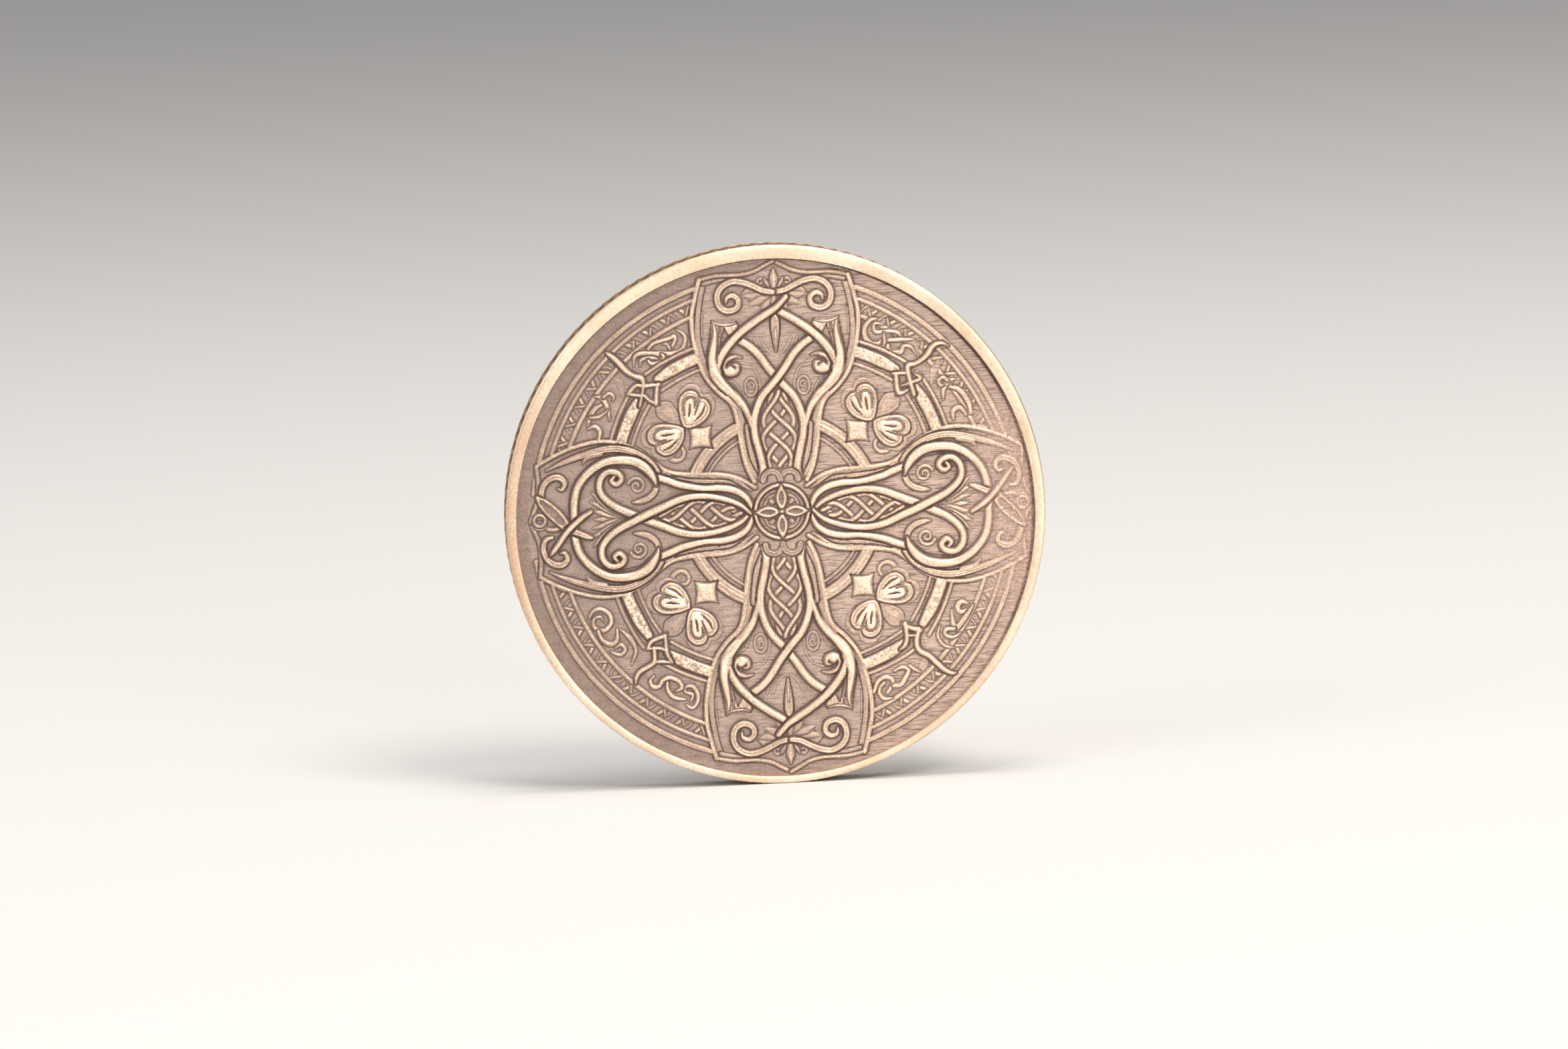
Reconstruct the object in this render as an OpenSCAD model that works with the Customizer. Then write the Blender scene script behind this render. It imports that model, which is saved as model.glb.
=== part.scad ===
// Engraved brass challenge coin with a reeded edge.
// The coin stands upright: its axis lies along Y, the front faces -Y and the artwork's top points to +Z.
// The origin is the centre of the blank. Every relief motif stands on a sunk field inside a raised rim.

/* [Blank] */
// Outside diameter over the reeds
coin_d = 40; // [32:0.5:50]
// Thickness from rim face to rim face
coin_t = 3; // [2.4:0.1:4]
// Size of the bevel between each rim face and the edge
edge_bevel = 0.2; // [0.1:0.05:0.3]

/* [Reeded edge] */
// Number of flutes around the edge
reed_count = 125; // [80:1:150]
// Depth of each flute
reed_depth = 0.18; // [0.1:0.02:0.24]
// Share of the pitch that a flute takes up
flute_share = 0.86; // [0.7:0.02:0.94]
// Radial thickness of the ring that carries the reeds
reed_ring_w = 0.45; // [0.4:0.05:0.6]

/* [Rim and fields] */
// Mean width of the flat land on the rim
land_w = 0.6; // [0.5:0.05:1.2]
// How far the recesses sit below the centre of the blank
recess_drop = 0.25; // [0:0.05:0.3]
// Depth of the front field below the rim
front_depth = 0.4; // [0.3:0.05:0.7]
// Depth of the reverse field below the rim
back_depth = 0.4; // [0.3:0.05:0.7]
// Thickness of metal that counts as the engraved field
field_t = 0.15; // [0.1:0.05:0.3]

/* [Front relief] */
// Distance from the relief's top down to the rim plane
top_gap = 0.04; // [0.02:0.02:0.2]
// Artwork centre to the right of the recess centre
art_x = 0.43; // [0:0.01:0.45]
// Artwork centre above the recess centre
art_y = 0.45; // [0:0.01:0.45]
// Width of the main interlaced strands
strand_w = 0.62; // [0.4:0.02:0.7]
// Width of the border and ring lines
line_w = 0.3; // [0.2:0.02:0.4]
// Middle radius of the inner ring that joins the arms
inner_ring_r = 6.9; // [6.6:0.1:7.2]
// Width of the inner ring
inner_ring_w = 1.05; // [0.8:0.05:1.2]
// Middle radius of the textured outer ring
outer_ring_r = 13.5; // [13.2:0.1:13.8]
// Width of the textured outer ring
outer_ring_w = 0.9; // [0.7:0.05:1]

/* [Reverse relief] */
// Middle radius of the two-strand rope border
rope_r = 16.6; // [16:0.1:17]
// Half height of the rope's waves
rope_wave = 1; // [0.7:0.05:1.2]
// Width of the reverse strands
rope_w = 0.62; // [0.4:0.02:0.7]
// Mean radius of the central knot
knot_r = 6.6; // [6:0.1:7]
// Half height of the central knot's loops
knot_wave = 3.4; // [3:0.1:3.8]
// Width of the central knot's strand
knot_w = 1; // [0.8:0.05:1.1]

/* [Hidden] */
$fn = 96;
small_sides = 24;
ring_sides = 72;
brass = [0.80, 0.66, 0.42];
bright_brass = [0.93, 0.82, 0.62];
dark_brass = [0.55, 0.47, 0.38];

coin_r = coin_d / 2;
half_t = coin_t / 2;
recess_r = coin_r - edge_bevel - land_w;
core_r = coin_r - reed_ring_w;
front_field_h = half_t - front_depth;
back_field_h = half_t - back_depth;
front_core_h = front_field_h - field_t;
back_core_h = back_field_h - field_t;
front_top_h = half_t - top_gap;
back_top_h = half_t - top_gap;
// the lists below are drawn for a recess of this radius and are scaled to the real one
drawn_r = 19.2;
k = recess_r / drawn_r;
// neighbouring motifs stay this far apart
seam = 0.01;
fine_w = 0.2;
// how much longer the lower arm is than the upper one
bottom_stretch = 1.046;
// the fields' motifs stay this far from the arms' borders
arm_margin = 0.12;
quads = [["upper_right", 1, 1], ["upper_left", -1, 1], ["lower_left", -1, -1], ["lower_right", 1, -1]];

// ---- curves through hand-set points [x, y, width] ----
function blend(a, b, c, d, t) =
    0.5 * (2 * b + (c - a) * t + (2 * a - 5 * b + 4 * c - d) * t * t + (3 * b - a - 3 * c + d) * t * t * t);
function curve(p, n) = [
    for (i = [0:len(p) - 2])
        for (s = [0:n - 1])
            blend(p[max(i - 1, 0)], p[i], p[i + 1], p[min(i + 2, len(p) - 1)], s / n),
    p[len(p) - 1]];
function heading(q, i) =
    let (d = q[min(i + 1, len(q) - 1)] - q[max(i - 1, 0)])
    [d.x, d.y] / norm([d.x, d.y]);
function edge(q, s) = [
    for (i = [0:len(q) - 1])
        let (d = heading(q, i))
        [q[i].x - s * d.y * q[i].z / 2, q[i].y + s * d.x * q[i].z / 2]];
function reversed(q) = [for (i = [len(q) - 1:-1:0]) q[i]];
function sized(p, w) = [for (a = p) [a.x, a.y, w]];
function polar(r, a) = r * [cos(a), sin(a)];
// one thin strand of a plait as [sideways, along]; c is [start, end, swing, lens start, lens end, turn per mm]
function plait_line(c, phase) = [
    for (i = [0:plait_steps])
        let (v = c[0] + (c[1] - c[0]) * i / plait_steps)
        [c[2] * sin(180 * (v - c[3]) / (c[4] - c[3])) * sin(c[5] * v + phase), v]];
function swapped(p) = [for (a = p) [a.y, a.x]];

module strand(p, n = 3) {
    q = curve(p, n);
    a = edge(q, 1);
    b = edge(q, -1);
    for (i = [0:len(q) - 2]) polygon([a[i], a[i + 1], b[i + 1], b[i]]);
}
module line(p, w, n = 3) {
    strand(sized(p, w), n);
}
module ring(r, w) {
    sides = r < 3 ? small_sides : ring_sides;
    difference() {
        circle(r + w / 2, $fn = sides);
        circle(r - w / 2, $fn = sides);
    }
}
module both_x() {
    children();
    mirror([1, 0]) children();
}
module both_y() {
    children();
    mirror([0, 1]) children();
}

// ---- upright arms: the right half is drawn, the left half is its mirror ----
arm_side = [[1.95, 2.3], [2.45, 3.4], [2.8, 5], [3, 6.6], [3.4, 8.1], [4.5, 9.2], [5.4, 10.5], [6, 12.6],
    [6.15, 14.5], [5.85, 16.1], [5.5, 17.35]];
arm_crown = [[5.5, 17.35], [4.2, 17.6], [2.6, 17.6], [1.5, 17.8], [0.7, 18.2], [0, 18.55]];
bracket = [[2.1, 6.6, 0.2], [2.5, 7.85, 0.42], [3.1, 8.65, 0.5], [3.7, 9.2, 0.58], [4.3, 9.85, 0.7],
    [4.6, 10.6, 0.85], [4.65, 11.5, 0.9], [4.45, 12.5, 0.95], [4.15, 13.4, 1.1], [3.95, 14.1, 1.4]];
strap = [[-0.85, 15.85], [-0.15, 15.15], [0.55, 14.7], [1.6, 14.05], [2.65, 13.3], [3.5, 12.45], [4.1, 11.6],
    [4.4, 10.9]];
ribbon = [[3.5, 15.95, 0.3], [3.05, 16.1, 0.38], [2.65, 15.75, 0.4], [2.8, 15.2, 0.42], [3.45, 15, 0.44],
    [4.05, 15.35, 0.44], [4.2, 16.1, 0.44], [3.85, 16.75, 0.44], [3.1, 17.1, 0.44], [2.25, 17, 0.44],
    [1.45, 16.7, 0.42], [0.8, 16.4, 0.4], [-0.05, 16.25, 0.4]];
comma = [[2.6, 11.5, 0.12], [3, 11.6, 0.22], [3.45, 11.5, 0.36], [3.88, 11.2, 0.46], [3.95, 10.7, 0.5],
    [3.5, 10.38, 0.5], [3, 10.5, 0.42], [2.92, 10.85, 0.25]];
spear = [[0, 14.45, 0.25], [0, 14.2, 0.58], [0, 13.6, 0.6], [0, 12.8, 0.4], [0, 11.9, 0.12]];
finial = [[0, 16.4, 0.2], [0, 16.8, 0.4], [0, 17.3, 0.62], [0, 17.7, 0.3], [0, 17.95, 0.06]];
finial_curl = [[0.45, 16.8, 0.15], [0.8, 16.75, 0.2], [1.15, 17, 0.22], [1, 17.3, 0.22], [0.7, 17.15, 0.16]];
long_strand = [[2.75, 12.85], [1.9, 12.3], [1.25, 11.6], [0.6, 10.65], [-0.2, 9.65], [-1.1, 8.65],
    [-1.6, 7.65], [-1.8, 6.65], [-1.78, 5.7], [-1.5, 4.5], [-1.28, 3.4], [-1.3, 2.45]];
small_loop = [[1.3, 2.35], [1.15, 2.75], [0.68, 2.95], [0.2, 2.75], [0, 2.3]];
oval_at = [1.95, 9.3];
oval_r = 0.66;
oval_squeeze = 0.65;
plait_steps = 16;
upright_plait = [3.4, 8.85, 1.25, 1.8, 9.6, 52];

module arm_area() {
    c = concat(curve(sized(arm_side, 0), 3), sized(arm_crown, 0));
    polygon(concat([[0, 0]], [for (a = c) [a.x, a.y]], reversed([for (a = c) [-a.x, a.y]])));
}
module arm_border() {
    both_x() {
        line(arm_side, line_w);
        line(arm_crown, line_w * 0.9);
    }
}
module arm_scrolls() {
    both_x() {
        strand(bracket);
        line(strap, strand_w);
        strand(ribbon);
        strand(comma);
        strand(finial_curl);
        translate(oval_at) scale([oval_squeeze, 1]) ring(oval_r, fine_w);
    }
    strand(spear);
    strand(finial);
}
module arm_plait() {
    both_x() {
        line(long_strand, strand_w * 0.94);
        line(small_loop, fine_w);
    }
    for (phase = [0:90:270]) line(plait_line(upright_plait, phase), line_w, 1);
}
// one kind of strand of an upright arm, cut clear of the kinds that lie over it
module upright_part(part) {
    difference() {
        union() {
            if (part == "border") arm_border();
            if (part == "scrolls") arm_scrolls();
            if (part == "plait") arm_plait();
        }
        if (part != "border") arm_border();
        if (part == "plait") arm_scrolls();
        circle(boss_r + boss_ring_w / 2);
    }
}

// ---- side arms: drawn for the right arm, as [distance from the boss, height, width] ----
side_edge = [[1.9, 1.85], [3.1, 2.6], [4.5, 2.95], [6.6, 3.05], [8.2, 3.3], [9.4, 4.1], [10.4, 4.95],
    [11.9, 5.6], [13.5, 5.75], [15.2, 5.4], [16.6, 4.85], [17.4, 4.45], [18, 4.1]];
side_tip = [[18, 4.1], [17.9, 3], [17.95, 1.7], [18.3, 0.7], [18.55, 0]];
crescent = [[9, 3.15, 0.3], [9.5, 3.9, 0.42], [10.3, 4.5, 0.5], [11.3, 4.98, 0.55], [12.5, 5.1, 0.6],
    [14, 4.9, 0.52], [15.8, 4.35, 0.38], [17.3, 3.7, 0.12]];
bright_strand = [[2.3, 0.9], [3.1, 1.55], [4.1, 1.9], [5.8, 1.95], [7.4, 2.3], [8.3, 2.65], [9.1, 2.85]];
great_scroll = [[9.2, 2.35, 0.12], [9.45, 3, 0.45], [10, 3.75, 0.6], [10.8, 4.25, 0.64], [11.9, 4.42, 0.66],
    [13, 4.25, 0.64], [14.1, 3.6, 0.62], [14.95, 2.6, 0.6], [15.3, 1.4, 0.6], [15.35, 0, 0.6]];
volute = [[12.45, 2.75, 0.25], [12.1, 2.6, 0.36], [11.75, 2.95, 0.42], [12.05, 3.4, 0.46], [12.75, 3.5, 0.48],
    [13.3, 3, 0.5], [13.4, 2.2, 0.5], [13, 1.5, 0.52], [12.2, 0.85, 0.56], [11.1, 0.3, 0.6], [10, -0.2, 0.6],
    [8.8, -0.7, 0.58], [7.6, -1.2, 0.55], [6.4, -1.4, 0.52], [5.2, -1.2, 0.5], [4, -0.7, 0.48],
    [3.1, -0.1, 0.42], [2.4, 0.5, 0.3]];
plain_strap = [[17.25, 2.5, 0.15], [16.9, 2.15, 0.4], [16.2, 1.2, 0.46], [15.6, 0.5, 0.46], [14.9, -0.1, 0.46],
    [14.1, -0.6, 0.3]];
ladder_strap = [[14.05, 1.35, 0.2], [14.5, 1.2, 0.4], [15.3, 0.85, 0.5], [15.9, 0.45, 0.7], [16.6, -0.35, 0.9],
    [17.4, -1.15, 0.8], [17.9, -1.7, 0.3]];
outer_curl = [[17, 1.2, 0.25], [17.5, 1.35, 0.36], [17.7, 2, 0.4], [17.5, 2.7, 0.42], [17, 3.15, 0.44],
    [16.4, 3.25, 0.44], [15.95, 2.85, 0.36], [16.15, 2.4, 0.2]];
leaf_fan = [[[11.7, 0, 0.06], [12.8, 0.2, 0.28], [13.9, 0.4, 0.1]],
    [[11.9, 0.15, 0.06], [12.9, 0.7, 0.3], [13.7, 1.6, 0.1]]];
ringlet_at = [10.65, 2.35];
ringlet_r = 0.5;
tip_ring_at = [17.9, 0];
tip_ring_r = 0.3;
side_plait_run = [3.7, 9, 1, 3.2, 9.5, 58];

module side_area() {
    c = concat(curve(sized(side_edge, 0), 3), sized(side_tip, 0));
    polygon(concat([[0, 0]], [for (a = c) [a.x, a.y]], reversed([for (a = c) [a.x, -a.y]])));
}
module side_border() {
    both_y() {
        line(side_edge, line_w);
        line(side_tip, line_w * 0.9);
    }
}
module side_scrolls() {
    both_y() {
        strand(crescent);
        strand(great_scroll);
        strand(outer_curl);
        for (leaf = leaf_fan) strand(leaf);
        translate(ringlet_at) ring(ringlet_r, fine_w);
    }
    strand(plain_strap);
    strand(ladder_strap);
    translate(tip_ring_at) ring(tip_ring_r, fine_w);
}
module side_plait() {
    both_y() {
        strand(volute);
        line(bright_strand, 0.5);
    }
    for (phase = [0:90:270]) line(swapped(plait_line(side_plait_run, phase)), line_w, 1);
}
// one kind of strand of a side arm, cut clear of the kinds that lie over it and of the upright arms
module side_part(part) {
    difference() {
        union() {
            if (part == "border") side_border();
            if (part == "scrolls") side_scrolls();
            if (part == "plait") side_plait();
        }
        if (part != "border") side_border();
        if (part == "scrolls") side_plait();
        circle(boss_r + boss_ring_w / 2);
        arm_area();
        mirror([0, 1]) arm_area();
    }
}

// ---- the four fields between the arms, drawn for the upper right ----
clasp_stem = [[12.05, 11.8, 0.2], [11.4, 11.45, 0.4], [10.7, 10.85, 0.42], [9.9, 10.3, 0.42], [9.8, 9.6, 0.38],
    [9.95, 8.9, 0.36], [10.15, 8.25, 0.14]];
clasp_buckle = [[9.75, 9.95], [8.8, 9.8], [9.05, 8.4], [9.75, 8.65]];
shamrock_joint = [7, 6.75];
lobe = [[0.15, 0, 0.2], [0.7, 0, 1.1], [1.3, 0, 1.9], [1.9, 0, 2.1], [2.4, 0, 1.6], [2.7, 0, 0.5]];
small_leaf = [[0.2, 0, 0.15], [0.7, 0, 0.7], [1.3, 0, 1.05], [1.8, 0, 0.5]];
block_at = [5.8, 5.62];
block_w = 1.2;
curl_at = [7.6, 4.6];
curl_r = 0.6;
knot_body = [[8.1, 13.4, 0.25], [7.4, 13.85, 0.34], [6.75, 13.5, 0.34], [6.65, 12.8, 0.34], [7.15, 12.2, 0.34],
    [7.9, 12.25, 0.34], [8.2, 12.8, 0.34], [8.9, 13, 0.34], [9.5, 12.6, 0.2]];
knot_tail = [[7.6, 12.4, 0.3], [8.4, 12.25, 0.34], [9.2, 12.3, 0.34], [10, 12.25, 0.16]];
knot_hook = [[8.35, 12.4, 0.3], [8.4, 11.8, 0.34], [8.9, 11.45, 0.34], [9.4, 11.75, 0.34], [9.9, 11.65, 0.3],
    [10.2, 11.2, 0.12]];
frieze_r = [16.2, 17.15, 17.85];
frieze_pitch = 6.4;

module quadrant(q) {
    scale_x = q[1];
    scale_y = q[2];
    mirror([scale_x < 0 ? 1 : 0, 0])
        mirror([0, scale_y < 0 ? 1 : 0])
            children();
}
// everything that belongs to the arms, a little wider than their borders
module arms_area() {
    offset(delta = line_w / 2 + arm_margin) {
        arm_area();
        mirror([0, 1]) scale([1, bottom_stretch]) arm_area();
        side_area();
        mirror([1, 0]) side_area();
    }
}
module quadrant_mask(q) {
    difference() {
        quadrant(q) square(drawn_r * 1.1);
        arms_area();
    }
}
module inner_ring() {
    ring(inner_ring_r, inner_ring_w);
    ring(inner_ring_r - inner_ring_w * 0.75, fine_w);
}
module outer_ring() {
    ring(outer_ring_r, outer_ring_w);
    for (s = [-1, 1]) ring(outer_ring_r + s * outer_ring_w * 0.98, fine_w);
}
module clasp() {
    strand(clasp_stem);
    strand(sized(clasp_buckle, 0.34), 1);
}
module shamrock() {
    translate(shamrock_joint) {
        for (a = [0, 90]) rotate(a) strand(lobe);
        rotate(45) strand(small_leaf);
    }
    translate(block_at) square(block_w, center = true);
    translate(curl_at) ring(curl_r, fine_w);
}
module one_knot() {
    strand(knot_body);
    strand(knot_tail);
    strand(knot_hook);
}
module knots() {
    one_knot();
    mirror([1, -1]) one_knot();
}
module frieze(q) {
    translate([-art_x, -art_y]) {
        for (r = frieze_r) ring(r, line_w);
        quadrant(q)
            for (a = [frieze_pitch * 2:frieze_pitch:90 - frieze_pitch * 2])
                for (lean = [-1, 1])
                    line([polar(frieze_r[0], a), polar(frieze_r[1], a + lean * frieze_pitch / 2)], fine_w, 1);
    }
}

// ---- centre boss ----
boss_r = 2.05;
boss_ring_w = 0.28;
boss_bead_r = 0.27;
petal_eye_r = 0.2;
petal_eye_at = 1;
petal_eye_stretch = 1.9;
side_bead_at = 1.15;
petal = [[0.12, 0, 0.1], [0.6, 0, 0.62], [1, 0, 0.8], [1.4, 0, 0.62], [1.9, 0, 0.1]];

module boss() {
    ring(boss_r, boss_ring_w);
    for (a = [0:90:270]) {
        rotate(a) difference() {
            strand(petal);
            translate([petal_eye_at, 0]) scale([petal_eye_stretch, 1]) circle(petal_eye_r, $fn = small_sides);
        }
        rotate(a + 45) translate([side_bead_at, 0]) circle(boss_bead_r, $fn = small_sides);
    }
    circle(boss_bead_r, $fn = small_sides);
}

// ---- placing: heights are measured from the middle of the coin towards each face ----
module front_art() {
    offset(delta = -seam / 2)
        translate([art_x * k, art_y * k - recess_drop])
            scale(k)
                children();
}
module raise_front(h0, h1) {
    rotate([90, 0, 0]) translate([0, 0, h0]) linear_extrude(h1 - h0) children();
}
module raise_back(h0, h1) {
    rotate([90, 0, 180]) translate([0, 0, h0]) linear_extrude(h1 - h0) children();
}
module front_relief(c) {
    color(c) raise_front(front_field_h, front_top_h) front_art() children();
}
module back_relief(c) {
    color(c) raise_back(back_field_h, back_top_h)
        offset(delta = -seam / 2) translate([0, -recess_drop]) scale(k) children();
}

// ---- blank ----
module core_disc() {
    color(brass) raise_front(-back_core_h, front_core_h) circle(core_r);
}
module reeded_edge() {
    band_h = half_t - edge_bevel;
    flute_w = PI * coin_d / reed_count * flute_share;
    flute_r = (flute_w * flute_w / 4 + reed_depth * reed_depth) / (2 * reed_depth);
    color(brass) raise_front(-band_h, band_h)
        difference() {
            circle(coin_r, $fn = reed_count * 6);
            circle(core_r, $fn = reed_count * 6);
            for (i = [0:reed_count - 1])
                rotate(i * 360 / reed_count)
                    translate([coin_r - reed_depth + flute_r, 0])
                        circle(flute_r, $fn = 48);
        }
}
module rim_ring(inner_h) {
    difference() {
        rotate_extrude()
            polygon([[0, inner_h], [core_r, inner_h], [core_r, half_t - edge_bevel],
                [coin_r, half_t - edge_bevel], [coin_r - edge_bevel, half_t], [0, half_t]]);
        translate([0, -recess_drop, inner_h - 1]) cylinder(h = coin_t, r = recess_r);
    }
}
module front_rim() {
    color(bright_brass) rotate([90, 0, 0]) rim_ring(front_core_h);
}
module back_rim() {
    color(bright_brass) rotate([90, 0, 180]) rim_ring(back_core_h);
}
module front_field() {
    color(dark_brass) raise_front(front_core_h, front_field_h) translate([0, -recess_drop]) circle(recess_r);
}
module back_field() {
    color(dark_brass) raise_back(back_core_h, back_field_h) translate([0, -recess_drop]) circle(recess_r);
}

// ---- front relief ----
module centre_boss() {
    front_relief(brass) boss();
}
module upright_arm(part) {
    front_relief(brass) upright_part(part);
}
module lower_arm(part) {
    front_relief(brass) mirror([0, 1]) scale([1, bottom_stretch]) upright_part(part);
}
module side_arm(part, turn) {
    front_relief(brass) rotate(turn) side_part(part);
}
module field_motif(q, part) {
    front_relief(part == "shamrock" ? bright_brass : brass)
        intersection() {
            quadrant_mask(q);
            if (part == "inner_ring") difference() {
                inner_ring();
                quadrant(q) shamrock();
            }
            if (part == "outer_ring") difference() {
                outer_ring();
                quadrant(q) clasp();
            }
            if (part == "clasp") quadrant(q) clasp();
            if (part == "shamrock") quadrant(q) shamrock();
            if (part == "knots") difference() {
                quadrant(q) knots();
                quadrant(q) clasp();
                outer_ring();
            }
            if (part == "frieze") difference() {
                frieze(q);
                quadrant(q) knots();
                quadrant(q) clasp();
            }
        }
}

// ---- reverse relief ----
rope_lobes = 26;
rope_steps = 10;
knot_lobes = 8;
knot_turns = 3;
knot_steps = 180;
bead_line_r = [14.6, 18.5];

module wave_ring(r, wave, lobes, phase, w) {
    n = lobes * rope_steps;
    p = [for (i = [0:n]) let (a = 360 * i / n) (r + wave * sin(lobes * a / 2 + phase)) * [cos(a), sin(a)]];
    line(p, w, 1);
}
module reverse_rope() {
    back_relief(brass) {
        wave_ring(rope_r, rope_wave, rope_lobes, 0, rope_w);
        wave_ring(rope_r, rope_wave, rope_lobes, 180, rope_w);
    }
}
module reverse_lines() {
    back_relief(bright_brass) for (r = bead_line_r) ring(r, line_w);
}
module reverse_knot() {
    p = [for (i = [0:knot_steps]) let (a = 360 * knot_turns * i / knot_steps)
        (knot_r + knot_wave * cos(knot_lobes * a / knot_turns)) * [cos(a), sin(a)]];
    back_relief(brass) line(p, knot_w, 1);
}

core_disc();
reeded_edge();
front_rim();
back_rim();
front_field();
back_field();
centre_boss();
for (part = ["border", "scrolls", "plait"]) {
    upright_arm(part);
    lower_arm(part);
    side_arm(part, 180);
    side_arm(part, 0);
}
for (q = quads)
    for (part = ["inner_ring", "outer_ring", "clasp", "shamrock", "knots", "frieze"])
        field_motif(q, part);
reverse_rope();
reverse_lines();
reverse_knot();
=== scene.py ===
"""An engraved brass challenge coin that stands on its edge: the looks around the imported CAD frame."""
import math

import bpy
import numpy as np
from bpy.props import FloatProperty, FloatVectorProperty, IntProperty, PointerProperty
from mathutils import Matrix, Vector


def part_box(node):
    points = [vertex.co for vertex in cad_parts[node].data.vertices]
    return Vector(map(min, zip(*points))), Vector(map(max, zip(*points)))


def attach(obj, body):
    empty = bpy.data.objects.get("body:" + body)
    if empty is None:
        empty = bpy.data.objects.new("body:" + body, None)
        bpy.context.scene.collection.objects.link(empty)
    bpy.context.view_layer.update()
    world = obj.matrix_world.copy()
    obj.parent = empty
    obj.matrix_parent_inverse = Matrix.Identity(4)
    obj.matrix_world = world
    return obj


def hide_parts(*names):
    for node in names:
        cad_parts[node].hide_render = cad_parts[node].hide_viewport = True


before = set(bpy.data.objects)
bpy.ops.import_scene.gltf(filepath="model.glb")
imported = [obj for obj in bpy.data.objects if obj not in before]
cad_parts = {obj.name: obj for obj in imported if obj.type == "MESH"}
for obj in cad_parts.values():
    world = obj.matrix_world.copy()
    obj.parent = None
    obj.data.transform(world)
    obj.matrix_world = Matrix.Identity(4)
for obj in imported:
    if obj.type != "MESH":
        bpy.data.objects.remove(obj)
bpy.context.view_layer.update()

bl_info = {
    "name": "Engraved challenge coin",
    "version": (1, 0, 0),
    "blender": (4, 5, 0),
    "location": "3D View > Sidebar > Coin",
    "description": "Builds the relief, rims, reeded edge, finishes and stage of an engraved coin",
    "category": "Add Mesh",
}

# ---------------------------------------------------------------- sizes that come from the frame
MM = 0.001


def node_box(name):
    """The lowest and highest corner of a CAD node, in millimetres."""
    low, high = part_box(name)
    return np.array(low) / MM, np.array(high) / MM


FIELD_LOW, FIELD_HIGH = node_box("front_field")
BACK_LOW, BACK_HIGH = node_box("back_field")
BOSS_LOW, BOSS_HIGH = node_box("centre_boss")
EDGE_HIGH = node_box("reeded_edge")[1]

COIN_R = EDGE_HIGH[0]
CORE_R = node_box("core_disc")[1][0]
HALF_T = -node_box("front_rim")[0][1]
BAND_H = EDGE_HIGH[1]
BEVEL = HALF_T - BAND_H
RECESS_R = (FIELD_HIGH[0] - FIELD_LOW[0]) / 2
RECESS_Z = (FIELD_HIGH[2] + FIELD_LOW[2]) / 2
CORE_H = -FIELD_HIGH[1]
FIELD_H = -FIELD_LOW[1]
BACK_FIELD_H = BACK_HIGH[1]
BACK_CORE_H = BACK_LOW[1]
ART_X = (BOSS_LOW[0] + BOSS_HIGH[0]) / 2
ART_Z = (BOSS_LOW[2] + BOSS_HIGH[2]) / 2
# the artwork's lists are drawn for a recess of this radius, in millimetres from the boss
DRAWN_R = 19.2
SCALE = RECESS_R / DRAWN_R
# how far the lattice and its tiles run on under the recess wall
LATTICE_EXTRA = 0.12
TILE_EXTRA = 0.08
QUADRANTS = {"upper_right": (1, 1), "upper_left": (-1, 1), "lower_left": (-1, -1), "lower_right": (1, -1)}
ARMS = ("top", "bottom", "left", "right")
ARM_PARTS = ("border", "scrolls", "plait")
FIELD_MOTIFS = ("inner_ring", "outer_ring", "clasp", "shamrock", "knots", "frieze")


# ---------------------------------------------------------------- curves
CURVE_STEP = 0.07


def curve(points):
    """Samples a smooth curve through [x, y, width] points about every CURVE_STEP millimetres."""
    p = np.array(points, float)
    out = []
    for i in range(len(p) - 1):
        a, b, c, d = p[max(i - 1, 0)], p[i], p[i + 1], p[min(i + 2, len(p) - 1)]
        n = max(2, int(math.hypot(*(c - b)[:2]) / CURVE_STEP))
        t = (np.arange(n) / n)[:, None]
        bend, twist = 2 * a - 5 * b + 4 * c - d, 3 * b - a - 3 * c + d
        out.append(0.5 * (2 * b + (c - a) * t + bend * t**2 + twist * t**3))
    return np.vstack(out + [p[-1:]])


def sized(points, width):
    """Gives every [x, y] point the same width."""
    return [[p[0], p[1], width] for p in points]


def tapered(points, width):
    """Gives every [x, y] point the same width but the first, where the line runs out."""
    return [[*points[0], 0.1]] + sized(points[1:], width)


def arc(radius, start, end, width, centre=(0, 0), squeeze=1.0):
    """Points [x, y, width] along a circular arc, in degrees. squeeze scales it across."""
    turns = np.radians(np.linspace(start, end, max(4, int(abs(end - start) / 12) + 2)))
    x, y = centre
    return [[x + radius * squeeze * math.cos(a), y + radius * math.sin(a), width] for a in turns]


def spiral(centre, r0, r1, start, end, w0, w1):
    """Points along a spiral whose radius and width change evenly."""
    n = max(5, int(abs(end - start) / 25) + 2)
    out = []
    for t in np.linspace(0, 1, n):
        a, r = math.radians(start + (end - start) * t), r0 + (r1 - r0) * t
        out.append([centre[0] + r * math.cos(a), centre[1] + r * math.sin(a), w0 + (w1 - w0) * t])
    return out


def swapped(points):
    """The points turned over about the diagonal."""
    return [[p[1], p[0], *p[2:]] for p in points]


def turned(points, degrees):
    """The points turned about their origin."""
    c, s = math.cos(math.radians(degrees)), math.sin(math.radians(degrees))
    return [[p[0] * c - p[1] * s, p[0] * s + p[1] * c, p[2]] for p in points]


def smooth(t):
    """0 to 1 with soft ends."""
    t = np.clip(t, 0, 1)
    return t * t * (3 - 2 * t)


def inside_outline(points, x, y):
    """Which of the places x, y lie inside a closed outline."""
    within = np.zeros(x.shape, bool)
    for (ax, ay), (bx, by) in zip(points, np.roll(points, -1, axis=0)):
        if ay != by:
            within ^= ((ay > y) != (by > y)) & (x < (bx - ax) * (y - ay) / (by - ay) + ax)
    return within


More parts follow.
